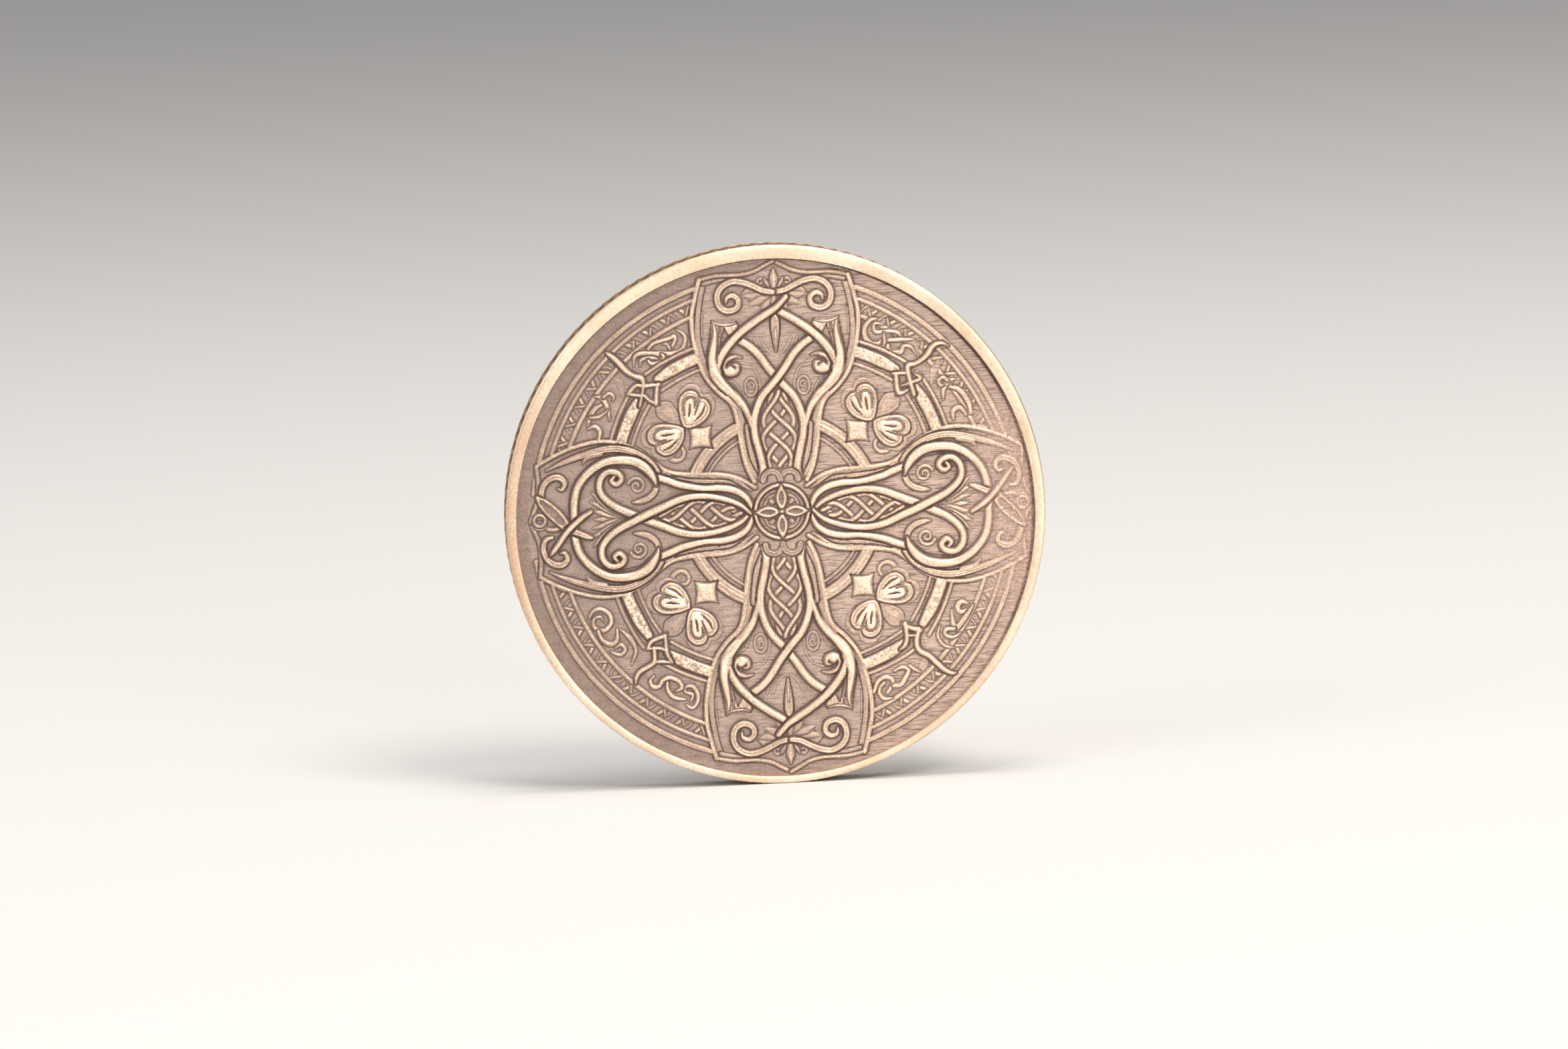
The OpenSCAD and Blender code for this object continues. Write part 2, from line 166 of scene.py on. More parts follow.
# ---------------------------------------------------------------- profiles across a strand
# Each takes the distance in from the strand's edge, in millimetres, and the place across it from -1 to 1, and
# gives the share of the full height.
EDGE_RUN = 0.1


def crown(across):
    """A half circle across the strand."""
    return np.sqrt(np.clip(1 - across**2, 0, 1))


def rounded(inside, across):
    return smooth(inside / EDGE_RUN) * (0.72 + 0.28 * crown(across))


def flat(inside, across):
    return smooth(inside / EDGE_RUN)


def fluted(inside, across):
    waves = np.cos(across * 2.5 * math.pi) * (1 - 0.4 * np.abs(across))
    return smooth(inside / EDGE_RUN) * (0.8 + 0.2 * waves)


def double_edge(inside, across):
    lip = np.exp(-(((inside - 0.1) / 0.06) ** 2))
    return smooth(inside / 0.08) * (0.58 + 0.42 * lip)


def domed(inside, across):
    return smooth(inside / 0.14) * (0.45 + 0.55 * crown(across))


def ridged(inside, across):
    return smooth(inside / 0.08) * (0.5 + 0.5 * np.clip(1 - np.abs(across), 0, 1))


def fanned(inside, across):
    waves = np.cos(across * 4.5 * math.pi)
    return smooth(inside / EDGE_RUN) * (0.6 + 0.25 * crown(across) + 0.15 * waves)


def corded(inside, across):
    """Three fine cords side by side."""
    return smooth(inside / 0.07) * (0.66 + 0.34 * np.cos(across * 3 * math.pi))


def leafed(inside, across):
    """An outline, a groove just inside it and a domed middle."""
    dip = np.exp(-(((inside - 0.22) / 0.05) ** 2))
    return smooth(inside / 0.07) * (0.72 - 0.45 * dip + 0.28 * smooth((inside - 0.28) / 0.3))


# ---------------------------------------------------------------- the height map
# a strand's part that starts or ends this share in has a square end, so that another span can go on
CUT = 1e-6
# a groove this deep holds its full patina
FULL_GROOVE = 0.07
# how much lower the metal is between the brush streaks, as a share of its height
STREAK_DEPTH = 0.25


class Relief:
    """Heights in millimetres above the field, over a square lattice that looks straight at one face.
    tone is how bright the metal is worn, from 0 to 1, and polished with a painted highlight above 1. dark is
    how much patina lies in a groove, with the painted shadow at the foot of the recess wall, and fade is how
    far the engraving is rubbed away, both from 0 to 1."""

    def __init__(self, pitch, centre, seed):
        half = DRAWN_R + LATTICE_EXTRA
        count = int(2 * half / pitch) + 1
        line = (np.arange(count) - (count - 1) / 2) * pitch
        self.pitch, self.count, self.centre = pitch, count, centre
        self.u, self.v = line + centre[0], line + centre[1]
        self.height = np.zeros((count, count), np.float32)
        self.tone = np.zeros_like(self.height)
        self.dark = np.zeros_like(self.height)
        self.fade = np.zeros_like(self.height)
        self.table = np.random.default_rng(seed).random((256, 256)).astype(np.float32)

    def grain(self, a, b):
        """Smooth noise from 0 to 1 with cells one unit wide."""
        i, j = np.floor(a).astype(int), np.floor(b).astype(int)
        s, t = smooth(a - i), smooth(b - j)
        near, far = self.table[i % 256, j % 256], self.table[(i + 1) % 256, j % 256]
        near2, far2 = self.table[i % 256, (j + 1) % 256], self.table[(i + 1) % 256, (j + 1) % 256]
        return (near * (1 - s) + far * s) * (1 - t) + (near2 * (1 - s) + far2 * s) * t

    def span(self, line, low, high):
        """The lattice rows or columns between two places."""
        a = int((low - line[0]) / self.pitch)
        b = int((high - line[0]) / self.pitch) + 2
        return max(a, 0), min(b, self.count)

    def window(self, q, reach):
        """The rows and columns of the lattice within reach of some points, as slices."""
        low, high = q.min(axis=0) - reach, q.max(axis=0) + reach
        return slice(*self.span(self.v, low[1], high[1])), slice(*self.span(self.u, low[0], high[0]))

    def stroke(self, points, top, profile=rounded, tone=1.0, groove=0.12, depth=0.07,
               part=(0, 1), join=False, streak=0.5):
        """Raises one strand along a curve through [x, y, width] points.
        It lies over what is there, with a groove beside it; join melts it into what is there.
        part keeps a share of its length, whose cut ends get no groove, so that another span can go on."""
        q = curve(points)
        first, last = int(part[0] * (len(q) - 1)), int(math.ceil(part[1] * (len(q) - 1)))
        lengths = np.concatenate([[0], np.cumsum(np.hypot(*np.diff(q[:, :2], axis=0).T))])
        q, lengths = q[first:last + 1], lengths[first:last + 1]
        rows, columns = self.window(q, q[:, 2].max() / 2 + groove + self.pitch)
        r0, c0 = rows.start, columns.start
        if rows.stop <= r0 or columns.stop <= c0:
            return
        inside = np.full((rows.stop - r0, columns.stop - c0), -9.0, np.float32)
        across, along = np.zeros_like(inside), np.zeros_like(inside)
        width, beyond = np.ones_like(inside), np.zeros(inside.shape, bool)
        for i in range(len(q) - 1):
            (ax, ay, aw), (bx, by, bw) = q[i], q[i + 1]
            dx, dy = bx - ax, by - ay
            length2 = dx * dx + dy * dy
            if length2 < 1e-12:
                continue
            near = max(aw, bw) / 2 + groove + self.pitch
            i0, i1 = self.span(self.u, min(ax, bx) - near, max(ax, bx) + near)
            j0, j1 = self.span(self.v, min(ay, by) - near, max(ay, by) + near)
            if i1 <= i0 or j1 <= j0:
                continue
            x, y = self.u[None, i0:i1] - ax, self.v[j0:j1, None] - ay
            t = (x * dx + y * dy) / length2
            held = np.clip(t, 0, 1)
            wide = aw + (bw - aw) * held
            away = np.hypot(x - held * dx, y - held * dy)
            deep = wide / 2 - away
            here = (slice(j0 - r0, j1 - r0), slice(i0 - c0, i1 - c0))
            better = deep > inside[here]
            side = np.where(x * dy - y * dx > 0, -1, 1)
            cut = np.zeros(better.shape, bool)
            if i == 0 and part[0] > 0:
                cut |= t < 0
            if i == len(q) - 2 and part[1] < 1:
                cut |= t > 1
            place = lengths[i] + held * math.sqrt(length2)
            for layer, value in ((inside, deep), (width, wide), (across, side * away), (along, place),
                                 (beyond, cut)):
                layer[here] = np.where(better, value, layer[here])
        share = np.clip(across / np.maximum(width / 2, 0.02), -1, 1)
        raised = profile(inside, share)
        brushed = self.grain(across / 0.08 + 40, along / 0.7 + q[0, 0] * 7)
        self.lay(rows, columns, inside, beyond, raised, brushed, top, tone, streak, groove, depth, join)

    def panel(self, outline, top, profile=flat, tone=1.0, groove=0.12, depth=0.07,
              join=False, streak=0.5, lean=90):
        """Raises the shape inside a closed smooth outline of [x, y] points; a point given twice is a corner.
        lean is the heading of its brush streaks, in degrees."""
        q = curve(sized(outline + outline[:1], 0))[:, :2]
        rows, columns = self.window(q, groove + self.pitch)
        x, y = np.meshgrid(self.u[columns], self.v[rows])
        away = np.full(x.shape, 9.0)
        for (ax, ay), (bx, by) in zip(q[:-1], q[1:]):
            dx, dy = bx - ax, by - ay
            t = np.clip(((x - ax) * dx + (y - ay) * dy) / max(dx * dx + dy * dy, 1e-12), 0, 1)
            away = np.minimum(away, np.hypot(x - ax - t * dx, y - ay - t * dy))
        inside = np.where(inside_outline(q, x, y), away, -away).astype(np.float32)
        thick = max(float(inside.max()), 0.01)
        c, n = math.cos(math.radians(lean)), math.sin(math.radians(lean))
        brushed = self.grain((x * n - y * c) / 0.07 + 30, (x * c + y * n) / 0.6 + 30)
        raised = profile(inside, np.clip(1 - inside / thick, 0, 1))
        beyond = np.zeros(x.shape, bool)
        self.lay(rows, columns, inside, beyond, raised, brushed, top, tone, streak, groove, depth, join)

    def lay(self, rows, columns, inside, beyond, raised, brushed, top, worn, streak, groove, depth, join):
        """Puts a raised, brushed shape and the groove around it into the height map."""
        raised = raised * (1 - STREAK_DEPTH * streak * (1 - brushed))
        shine = worn * np.clip(raised, 0, 1) * (1 - streak * (1 - brushed))
        raised = top * raised
        h, tone, dark = self.height[rows, columns], self.tone[rows, columns], self.dark[rows, columns]
        body = (inside > 0) & ~beyond
        trough = (inside <= 0) & (inside > -groove) & ~beyond
        sunk = 1 - np.abs(1 + 2 * inside / groove)
        if join:
            body &= raised > h
            trough &= h < 0.03
        h[trough] = (-depth * sunk)[trough]
        tone[trough] *= 0.2
        dark[trough] = np.maximum(sunk, 0.4)[trough] * min(abs(depth) / FULL_GROOVE, 1.2)
        h[body] = raised[body]
        tone[body] = shine[body]
        dark[body] = 0

    def grid(self):
        """The lattice's places as two arrays, across and up."""
        return np.meshgrid(self.u, self.v)

    def clear(self, mask):
        """Takes everything off part of the field."""
        for layer in (self.height, self.tone, self.dark):
            layer[mask] = 0

    def blurred(self, layer, cells):
        """The layer averaged over a square of 2 * cells + 1, twice."""
        out = layer.astype(np.float64)
        for _ in range(2):
            for axis in (0, 1):
                pad = [(cells + 1, cells) if a == axis else (0, 0) for a in (0, 1)]
                total = np.cumsum(np.pad(out, pad, mode="edge"), axis=axis)
                size = 2 * cells + 1
                low = np.take(total, range(0, total.shape[axis] - size), axis=axis)
                high = np.take(total, range(size, total.shape[axis]), axis=axis)
                out = (high - low) / size
        return out.astype(np.float32)

    def soften(self, cells):
        """Rounds every corner a little, then notes how far each place rises above the cells around it."""
        self.height = self.height * 0.5 + self.blurred(self.height, 1) * 0.5
        low = self.height - self.blurred(self.height, cells)
        self.rise = np.clip(0.5 + low * 3.5, 0, 1)


class Pen:
    """Draws lists of points on a relief, each turned over or stretched by sx and sy.
    other mirrors a list first: across the upright axis, or across the level one where flip says so."""

    def __init__(self, relief, sx, sy, flip=(-1, 1)):
        self.relief, self.sx, self.sy, self.flip = relief, sx, sy, flip

    def placed(self, points, flip=(1, 1)):
        return [[flip[0] * p[0] * self.sx, flip[1] * p[1] * self.sy, *p[2:]] for p in points]

    def one(self, points, *args, **kw):
        self.relief.stroke(self.placed(points), *args, **kw)

    def other(self, points, *args, **kw):
        self.relief.stroke(self.placed(points, self.flip), *args, **kw)

    def both(self, points, *args, **kw):
        self.one(points, *args, **kw)
        self.other(points, *args, **kw)

    def fill(self, points, *args, flip=(1, 1), **kw):
        self.relief.panel(self.placed(points, flip), *args, **kw)


# ---------------------------------------------------------------- upright arms
# the lists are drawn for the top arm's right half
ARM_SIDE = [[1.95, 2.3], [2.45, 3.4], [2.8, 5], [3, 6.6], [3.4, 8.1], [4.5, 9.2], [5.4, 10.5], [6, 12.6],
            [6.15, 14.5], [5.85, 16.1], [5.5, 17.35]]
ARM_CROWN = [[5.5, 17.35], [4.2, 17.6], [2.6, 17.6], [1.5, 17.8], [0.7, 18.2], [0, 18.55]]
SHIELD_INNER = [[3.75, 9.05], [4.85, 10.2], [5.45, 11.6], [5.72, 13], [5.72, 14.4], [5.5, 15.9], [5.2, 17.05]]
CROWN_INNER = [[5.2, 17.05], [4.3, 17.25], [3.2, 17.38], [2.5, 17.4]]
NECK_LINES = [[[1.75, 2.5], [2.15, 3.5], [2.45, 5], [2.66, 6.6], [3.1, 7.95], [4.0, 9.0]],
              [[1.6, 2.9], [1.95, 4], [2.2, 5.4], [2.3, 6.4]]]
TRUMPET = [[4.66, 14.3], [4.66, 14.3], [4.15, 14.08], [3.5, 14.02], [2.9, 14.12], [2.9, 14.12],
           [2.75, 13.75], [3.4, 13.0], [3.95, 12.2], [4.2, 11.3], [4.0, 10.3], [4.5, 9.9], [5.0, 10.8],
           [5.05, 11.9], [4.8, 13.1]]
TRUMPET_HOLE = [[3.5, 13.15], [3.5, 13.15], [3.78, 13.6], [3.78, 13.6], [4.05, 12.6], [4.05, 12.6]]
TRUMPET_LINES = [[[4.56, 14.1, 0.12], [4.46, 13.4, 0.36], [4.58, 12.5, 0.52], [4.72, 11.7, 0.64],
                  [4.7, 11.0, 0.68], [4.5, 10.4, 0.64], [4.05, 9.8, 0.56], [3.5, 9.2, 0.4], [3.0, 8.6, 0.2]],
                 [[4.1, 13.9, 0.06], [4.08, 13.3, 0.1], [4.2, 12.6, 0.12], [4.25, 12.0, 0.06]],
                 [[4.6, 14.2, 0.1], [4.15, 14.02, 0.18], [3.5, 13.96, 0.18], [2.95, 14.07, 0.1]]]
BRACKET = [[2.05, 6.3, 0.2], [2.2, 7.1, 0.44], [2.5, 7.85, 0.56], [3.1, 8.65, 0.64], [3.7, 9.2, 0.7],
           [4.25, 9.8, 0.78], [4.55, 10.5, 0.9], [4.7, 11.3, 0.7], [4.8, 12, 0.3]]
STRAP = [[-0.85, 15.87, 0.44], [-0.15, 15.15, 0.5], [0.56, 14.7, 0.56], [1.6, 14.06, 0.58], [2.65, 13.3, 0.6],
         [3.5, 12.45, 0.62], [4.1, 11.6, 0.6], [4.4, 10.85, 0.55]]
RIBBON = [[3.56, 15.6, 0.16], [3.5, 15.95, 0.3], [3.05, 16.1, 0.38], [2.65, 15.75, 0.42],
          [2.8, 15.18, 0.44], [3.48, 14.98, 0.46], [4.05, 15.35, 0.48], [4.2, 16.1, 0.46],
          [3.86, 16.75, 0.46], [3.1, 17.13, 0.46], [2.25, 17.03, 0.46], [1.45, 16.7, 0.44],
          [0.8, 16.38, 0.42], [0.1, 16.25, 0.4]]
COMMA = [[2.55, 11.5, 0.06], [3.0, 11.6, 0.22], [3.45, 11.5, 0.36], [3.88, 11.2, 0.46], [3.95, 10.7, 0.52],
         [3.5, 10.38, 0.54], [3.0, 10.5, 0.46], [2.9, 10.9, 0.34], [3.2, 11.02, 0.2]]
COMMA_HEAD = [[3.34, 10.58, 0.66], [3.44, 10.64, 0.66]]
SPEAR = [[0, 14.5, 0.3], [0, 14.2, 0.58], [0, 13.6, 0.6], [0, 12.8, 0.4], [0, 11.9, 0.08]]
SPEAR_BLADE = [[0, 13.6, 0.1], [0, 13.2, 0.26], [0, 12.6, 0.2], [0, 12.0, 0.06]]
FINIAL = [[0, 16.3, 0.25], [0, 16.8, 0.42], [0, 17.25, 0.6], [0, 17.65, 0.34], [0, 18, 0.06]]
PLAQUE = [[0, 16.3], [1.3, 16.65], [2.0, 16.6], [2.38, 16.2], [2.38, 16.2], [2.0, 15.95], [1.75, 15.65],
          [1.4, 15.7], [1.25, 15.35], [0.85, 15.3], [0.55, 15.4], [0.3, 15.1], [0, 15.0]]
PLAQUE_LEAVES = [[[0.2, 15.9, 0.2], [1.2, 16, 0.5], [1.9, 16, 0.4], [2.3, 16.1, 0.06]],
                 [[0.2, 15.8, 0.2], [1, 15.7, 0.55], [1.5, 15.5, 0.4], [1.9, 15.35, 0.08]],
                 [[0.1, 15.8, 0.2], [0.55, 15.4, 0.5], [0.8, 15.15, 0.3], [1, 14.95, 0.06]],
                 [[0, 16, 0.2], [0.05, 15.5, 0.45], [0, 14.9, 0.08]]]
LONG_STRAND = [[2.75, 12.85], [1.92, 12.3], [1.25, 11.6], [0.6, 10.65], [-0.2, 9.65], [-1.1, 8.65],
               [-1.6, 7.65], [-1.82, 6.65], [-1.78, 5.7], [-1.5, 4.5], [-1.28, 3.4], [-1.3, 2.45]]
SMALL_LOOP = [[1.3, 2.35], [1.15, 2.8], [0.68, 3.0], [0.2, 2.8], [0, 2.3]]
FINE_LINES = [[[1.15, 12.9], [0.75, 12.1], [0.2, 11.6]], [[1.6, 12.9], [1.35, 12.3], [0.75, 11.6]],
              [[3.0, 11.2], [2.2, 11], [1.6, 10.5], [1.3, 9.7], [1.25, 8.9]], [[2.7, 10.9], [2.0, 10.75]],
              [[3.8, 9.9], [3.1, 9.6], [2.75, 8.9], [2.6, 8.1]], [[5.42, 13], [5.45, 14], [5.35, 15]]]


def upright_outline():
    """The closed outline of the top arm."""
    half = np.vstack([curve(sized(ARM_SIDE, 0)), curve(sized(ARM_CROWN, 0))])[:, :2]
    return np.vstack([[[0, 0]], half, (half * [-1, 1])[::-1]])


def engrave_upright(relief, sx, sy):
    """Draws one upright arm. sx and sy turn the drawing over; sy also stretches it."""
    pen = Pen(relief, sx, sy)
    one, other, both = pen.one, pen.other, pen.both
    for line in FINE_LINES:
        both(sized(line, 0.13), 0.07, flat, tone=0.45, groove=0.09, depth=0.05)
    for line in NECK_LINES:
        both(tapered(line, 0.46), 0.16, corded, tone=0.8, groove=0.1)
    both(sized(SHIELD_INNER, 0.36), 0.13, corded, tone=0.65)
    both(sized(CROWN_INNER, 0.26), 0.1, corded, tone=0.5)
    both(sized(ARM_CROWN, 0.27), 0.15, double_edge, tone=0.62)
    both(sized(ARM_SIDE, 0.36), 0.22, double_edge, tone=0.95, join=True)
    # leaf plaque, finial and its curls
    pen.fill(PLAQUE + [[-x, y] for x, y in PLAQUE[::-1]], 0.08, double_edge, tone=0.55, groove=0.1)
    for leaf in PLAQUE_LEAVES:
        both(leaf, 0.12, fanned, tone=0.5, groove=0.07, depth=0.05)
    both(spiral((1.0, 17.0), 0.34, 0.1, 200, -150, 0.2, 0.16), 0.14, flat, tone=0.6, groove=0.08)
    both([[0.15, 16.5, 0.1], [0.5, 16.9, 0.24], [0.7, 17.3, 0.06]], 0.12, ridged, tone=0.6)
    one(FINIAL, 0.16, ridged, tone=0.75)
    # ovals behind the strands
    both(arc(0.66, 0, 360, 0.17, (1.95, 9.3), 0.65), 0.1, flat, tone=0.6, groove=0.09)
    both(spiral((1.95, 9.35), 0.3, 0.05, 90, 420, 0.14, 0.1), 0.08, flat, tone=0.5, groove=0.07)
    plait(relief, lambda x, y: (x * sx, y * sy))
    # lyre and straps; the brightest tones give polished crests with a painted highlight
    strand = sized(LONG_STRAND, 0.58)
    other(strand, 0.22, rounded, tone=0.95)
    one(strand, 0.31, rounded, tone=1.06)
    one(SPEAR, 0.16, double_edge, tone=0.8, groove=0.14, depth=0.09)
    one(SPEAR_BLADE, 0.24, domed, tone=1.1, groove=0.03, depth=0.02)
    both(COMMA, 0.26, domed, tone=1, groove=0.14)
    both(COMMA_HEAD, 0.3, domed, tone=1.4, groove=0.05, join=True)
    for flip in ((1, 1), pen.flip):
        pen.fill(TRUMPET, 0.2, flat, tone=0.85, streak=0.75, lean=100, flip=flip)
        pen.fill(TRUMPET_HOLE, 0.01, flat, tone=0.1, groove=0.08, flip=flip)
    one(STRAP, 0.28, rounded, part=(0.22, 1 - CUT))
    both(RIBBON, 0.24, double_edge, tone=0.95)
    other(STRAP, 0.34, rounded, part=(0, 1 - CUT))
    for line, top, tone in zip(TRUMPET_LINES, (0.35, 0.26, 0.27), (1.35, 0.8, 1.0)):
        both(line, top, rounded, tone=tone, groove=0.06, depth=-0.1)
    both(BRACKET, 0.31, rounded, tone=1.15, join=True, streak=0.65)
    both(sized(SMALL_LOOP, 0.36), 0.16, flat, tone=0.95, groove=0.12)
    both(sized(SMALL_LOOP, 0.12), 0.02, flat, tone=0.0, groove=0.02, depth=0.02)


def plait(relief, place, base=3.4, length=5.5, wave=1.25, rise=(1.8, 7.8), turn=52.0):
    """Four thin strands inside the lens of an arm. The spans that lie under come first."""
    rows, width = 56, 0.34
    lines = []
    for phase in (0, 90, 180, 270):
        at = base + length * np.arange(rows + 1) / rows
        reach = wave * np.sin(np.radians(180 * (at - rise[0]) / rise[1]))
        swing = reach * np.sin(np.radians(turn * at + phase))
        lines.append((phase, at, swing))
    for over in (False, True):
        for phase, at, swing in lines:
            local = (turn * at + phase + 67.5) % 180
            runs = (local < 90) == over
            start = 0
            for i in range(1, rows + 1):
                if i == rows or runs[i] != runs[start]:
                    if runs[start] and i - start > 1:
                        a, b = max(start - 1, 0), min(i + 1, rows)
                        points = [[*place(swing[j], at[j]), width] for j in range(a, b + 1)]
                        part = (CUT if a > 0 else 0, 1 - CUT if b < rows else 1)
                        top = 0.2 if over else 0.13
                        relief.stroke(points, top, rounded, tone=0.85, groove=0.09, part=part)
                    start = i


# ---------------------------------------------------------------- side arms
# the lists are drawn for the right arm's upper half
SIDE_EDGE = [[1.9, 1.85], [3.1, 2.6], [4.5, 2.95], [6.6, 3.05], [8.2, 3.3], [9.4, 4.1], [10.4, 4.95],
             [11.9, 5.6], [13.5, 5.75], [15.2, 5.4], [16.6, 4.85], [17.4, 4.45], [18, 4.1]]
SIDE_TIP = [[18, 4.1], [17.9, 3], [17.95, 1.7], [18.3, 0.7], [18.55, 0]]
SIDE_LINES = [[[2.2, 1.65], [3.3, 2.35], [4.7, 2.65], [6.6, 2.75], [8, 2.98], [8.9, 3.5]],
              [[2.9, 1.8], [3.9, 2.25], [5.2, 2.38], [6.8, 2.5], [8, 2.75]]]
CRESCENT = [[9, 3.35, 0.3], [9.5, 4.0, 0.4], [10.3, 4.6, 0.46], [11.3, 5.05, 0.5], [12.5, 5.2, 0.52],
            [14, 4.95, 0.48], [15.8, 4.4, 0.36], [17.3, 3.75, 0.1]]
CRESCENT_SPIKE = [[14.6, 4.1, 0.1], [14.4, 4.45, 0.3], [14.0, 4.75, 0.5], [13.2, 4.85, 0.4]]
BRIGHT_STRAND = [[2.2, 0.4, 0.34], [2.6, 1.15, 0.48], [3.4, 1.7, 0.54], [4.5, 1.95, 0.54], [5.8, 1.98, 0.5],
                 [7.4, 2.3, 0.54], [8.3, 2.65, 0.56], [9.15, 2.95, 0.5]]
GREAT_SCROLL = [[9.2, 2.3, 0.1], [9.4, 2.95, 0.5], [9.95, 3.7, 0.7], [10.8, 4.2, 0.72], [11.9, 4.35, 0.68],
                [13, 4.2, 0.64], [14.1, 3.55, 0.62], [14.95, 2.55, 0.6], [15.3, 1.4, 0.6], [15.35, 0, 0.58]]
VOLUTE = [[12.3, 3.1, 0.3], [12.5, 2.8, 0.36], [12.12, 2.56, 0.42], [11.75, 2.95, 0.46], [12.05, 3.4, 0.48],
          [12.75, 3.5, 0.5], [13.3, 3, 0.52], [13.4, 2.2, 0.52], [13, 1.5, 0.54], [12.2, 0.85, 0.56],
          [11.1, 0.3, 0.6], [10, -0.2, 0.62], [8.8, -0.7, 0.6], [7.6, -1.2, 0.56], [6.4, -1.42, 0.52],
          [5.2, -1.35, 0.5], [4, -1.05, 0.46], [3.0, -0.6, 0.4], [2.3, 0.05, 0.24]]
PLAIN_STRAP = [[17.25, 2.55, 0.1], [16.9, 2.15, 0.4], [16.2, 1.2, 0.46], [15.6, 0.5, 0.46],
               [14.9, -0.1, 0.46], [14.1, -0.6, 0.3]]
LADDER_STRAP = [[14.05, 1.35, 0.2], [14.5, 1.2, 0.4], [15.3, 0.85, 0.5], [15.9, 0.45, 0.7],
                [16.6, -0.35, 0.95], [17.4, -1.15, 0.85], [18.0, -1.8, 0.3]]
LADDER_HOLES = [[[15.85, 0.62, 0.3], [15.95, 0.53, 0.3]], [[16.32, 0.05, 0.34], [16.5, -0.15, 0.4]],
                [[16.72, -0.42, 0.42], [16.9, -0.6, 0.42]], [[17.12, -0.85, 0.4], [17.3, -1.05, 0.34]],
                [[17.5, -1.28, 0.3], [17.68, -1.48, 0.2]]]
OUTER_CURL = [[17, 1.2, 0.25], [17.5, 1.35, 0.36], [17.7, 2, 0.42], [17.5, 2.7, 0.44], [17, 3.15, 0.46],
              [16.4, 3.25, 0.46], [15.95, 2.85, 0.4], [16.15, 2.35, 0.3], [16.5, 2.4, 0.12]]
RINGLET = [[9.2, 2.35, 0.36], [9.35, 1.85, 0.42], [9.85, 1.4, 0.44], [10.5, 1.2, 0.36], [11, 1.15, 0.1]]
PALMETTE = [[[11.6, 0, 0.05], [12.8, 0.0, 0.5], [13.9, 0.0, 0.1]],
            [[11.7, 0.05, 0.05], [12.8, 0.35, 0.5], [14, 0.65, 0.1]],
            [[11.9, 0.1, 0.05], [12.9, 0.75, 0.5], [14.1, 1.3, 0.1]],
            [[12.1, 0.3, 0.05], [13.1, 1.15, 0.45], [14, 2, 0.1]]]
SIDE_CLAW = [[15.9, 0.15, 0.1], [16.5, 0.55, 0.3], [17.2, 0.6, 0.3], [17.8, 0.35, 0.08]]
ARM_FADE = (12.8, 17.5)


def side_outline():
    """The closed outline of the right arm."""
    half = np.vstack([curve(sized(SIDE_EDGE, 0)), curve(sized(SIDE_TIP, 0))])[:, :2]
    return np.vstack([[[0, 0]], half, (half * [1, -1])[::-1]])


def engrave_side(relief, turn):
    """Draws one side arm. turn is 1 for the right arm, and -1 for the left: the right one turned round."""
    pen = Pen(relief, turn, turn, (1, -1))
    one, other, both = pen.one, pen.other, pen.both
    for line in SIDE_LINES:
        both(tapered(line, 0.44), 0.16, corded, tone=0.8, groove=0.1)
    both(sized(SIDE_TIP, 0.3), 0.16, double_edge, tone=0.7)
    both(sized(SIDE_EDGE, 0.3), 0.18, double_edge, tone=0.85, join=True)
    for leaf in PALMETTE:
        both(leaf, 0.15, fanned, tone=0.85, groove=0.08, depth=0.06)
    both(CRESCENT, 0.24, corded, tone=0.95)
    both(CRESCENT_SPIKE, 0.22, fluted, tone=0.8, groove=0.06, join=True)
    both(RINGLET, 0.16, double_edge, tone=0.75)
    both(spiral((10.65, 2.35), 0.66, 0.1, 20, 560, 0.24, 0.16), 0.13, double_edge, tone=0.75, groove=0.08)
    both(sized([[9.9, 3.1], [10.5, 3.62], [11.4, 3.85], [12.3, 3.98]], 0.13), 0.09, flat, tone=0.5)
    both(SIDE_CLAW, 0.16, ridged, tone=0.8)
    both(arc(0.42, 0, 360, 0.26, (17.9, 0.1)), 0.16, flat, tone=0.8, groove=0.09)
    both(OUTER_CURL, 0.22, double_edge, tone=0.9)
    plait(relief, lambda x, y: (y * turn, x * turn), base=3.0, length=6.0, wave=1.05,
          rise=(2.4, 7.1), turn=58)
    both(BRIGHT_STRAND, 0.28, rounded, tone=1.2)
    other(VOLUTE, 0.24, rounded, tone=0.95)
    one(VOLUTE, 0.32, rounded, tone=1.0)
    both(GREAT_SCROLL, 0.31, rounded, tone=1.0)
    one(LADDER_STRAP, 0.25, double_edge, tone=0.95)
    for hole in LADDER_HOLES:
        one(hole, 0.01, flat, tone=0.1, groove=0.06, depth=0.03)
    one(PLAIN_STRAP, 0.32, rounded)


